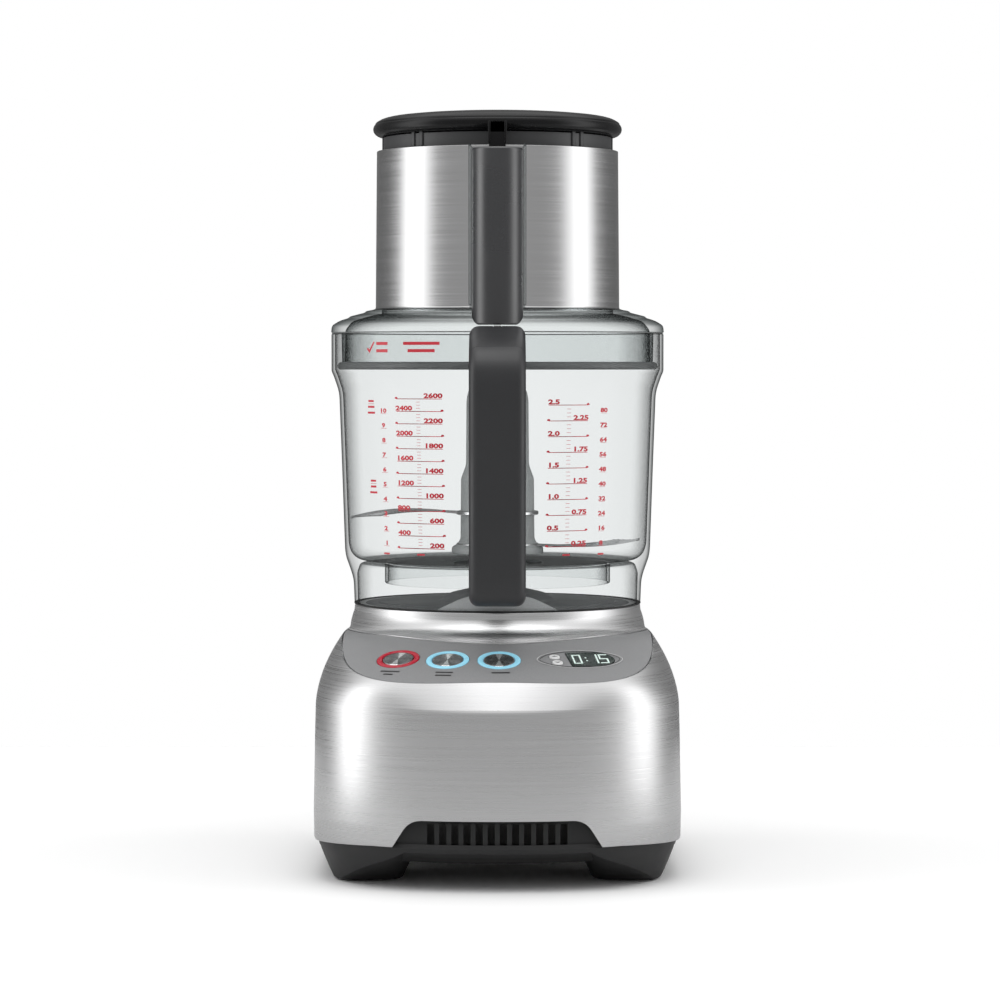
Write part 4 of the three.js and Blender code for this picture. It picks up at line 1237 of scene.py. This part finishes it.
def make_camera():
    """The object from a little above its middle, seen from a little over two metres."""
    lens = bpy.data.cameras.new("camera")
    lens.sensor_width = 36
    lens.lens = 126.0
    camera = link(bpy.data.objects.new("camera", lens))
    camera.location = (0.0015, AXIS_Y - 2.1, 0.294)
    camera.rotation_euler = (math.radians(90 - 2.21), 0, 0)
    bpy.context.scene.camera = camera


def make_floor():
    mesh = bpy.data.meshes.new("floor")
    size = 0.62
    corners = [(-size, -size, 0), (size, -size, 0), (size, size, 0), (-size, size, 0)]
    mesh.from_pydata(corners, [], [(0, 1, 2, 3)])
    floor = link(bpy.data.objects.new("floor", mesh))
    white = node_material("floor_white", (1.0, 1.0, 1.0), 0.6)
    graph = Graph(white)
    rays = graph.node("ShaderNodeLightPath")
    # Painted reflection shade: the floor is white to the camera but shows 0.6 grey in glossy reflections.
    shade = [(0.0, (1.0, 1.0, 1.0)), (1.0, (0.6, 0.6, 0.6))]
    graph.drive("Base Color", graph.ramp(rays.outputs["Is Glossy Ray"], shade))
    mesh.materials.append(white)


# The brightness of the surroundings by azimuth in degrees: 0 is in front, 90 on the right.
LIGHT_LEVELS = (
    (-180, 0.2), (-150, 0.16), (-125, 0.2), (-108, 0.5), (-98, 1.9), (-84, 3.0), (-72, 1.7), (-60, 0.5),
    (-45, 0.42), (-25, 0.46), (0, 0.46), (25, 0.46), (45, 0.42), (60, 0.5), (72, 1.5), (86, 2.7),
    (98, 1.6), (108, 0.45), (125, 0.2), (150, 0.16), (180, 0.2),
)


def make_studio():
    """Soft light from all round: tall bright panels at both sides, a broad one overhead, a dimmer front."""
    world = bpy.data.worlds.new("studio")
    bpy.context.scene.world = world
    world.use_nodes = True
    graph = Graph(world)
    parts = graph.node("ShaderNodeSeparateXYZ")
    graph.join(graph.place.node.outputs["Generated"], parts.inputs[0])
    azimuth = graph.maths("ARCTAN2", parts.outputs["X"], graph.maths("MULTIPLY", parts.outputs["Y"], -1))
    share = graph.maths("MULTIPLY_ADD", azimuth, 1 / (2 * math.pi), 0.5)
    around = graph.ramp(share, [((angle + 180) / 360, (level,) * 3) for angle, level in LIGHT_LEVELS])
    rise = graph.node("ShaderNodeMapRange", interpolation_type="SMOOTHSTEP")
    rise.inputs["From Min"].default_value = 0.45
    rise.inputs["From Max"].default_value = 0.8
    graph.join(parts.outputs["Z"], rise.inputs["Value"])
    overhead = graph.mixed(rise.outputs["Result"], around, 1.15)
    seen = graph.node("ShaderNodeLightPath").outputs
    straight = graph.maths("MAXIMUM", seen["Is Camera Ray"], seen["Is Transmission Ray"])
    shown = graph.mixed(straight, overhead, 1.0)
    graph.join(shown, graph.tree.nodes["Background"].inputs["Color"])
    bpy.context.scene.view_settings.view_transform = "Standard"
    light = bpy.data.lights.new("overhead", "AREA")
    light.shape = "DISK"
    light.size = 2.4
    light.energy = 20
    lamp = link(bpy.data.objects.new("overhead", light))
    lamp.location = (0, -0.6, 2.6)
    lamp.rotation_euler = (math.radians(-14), 0, 0)


def main():
    make_camera()
    make_floor()
    make_studio()
    dress_inner_pieces()
    make_casing()
    make_gland()
    make_pan()
    make_grille()
    make_panel()
    make_buttons()
    make_labels()
    make_display()
    make_deck()
    make_spindle()
    make_springs()
    make_bowl()
    make_graduations()
    make_lid()
    make_handle()
    make_column()
    make_pushers()
    make_blade_hub()
    make_blades()


main()
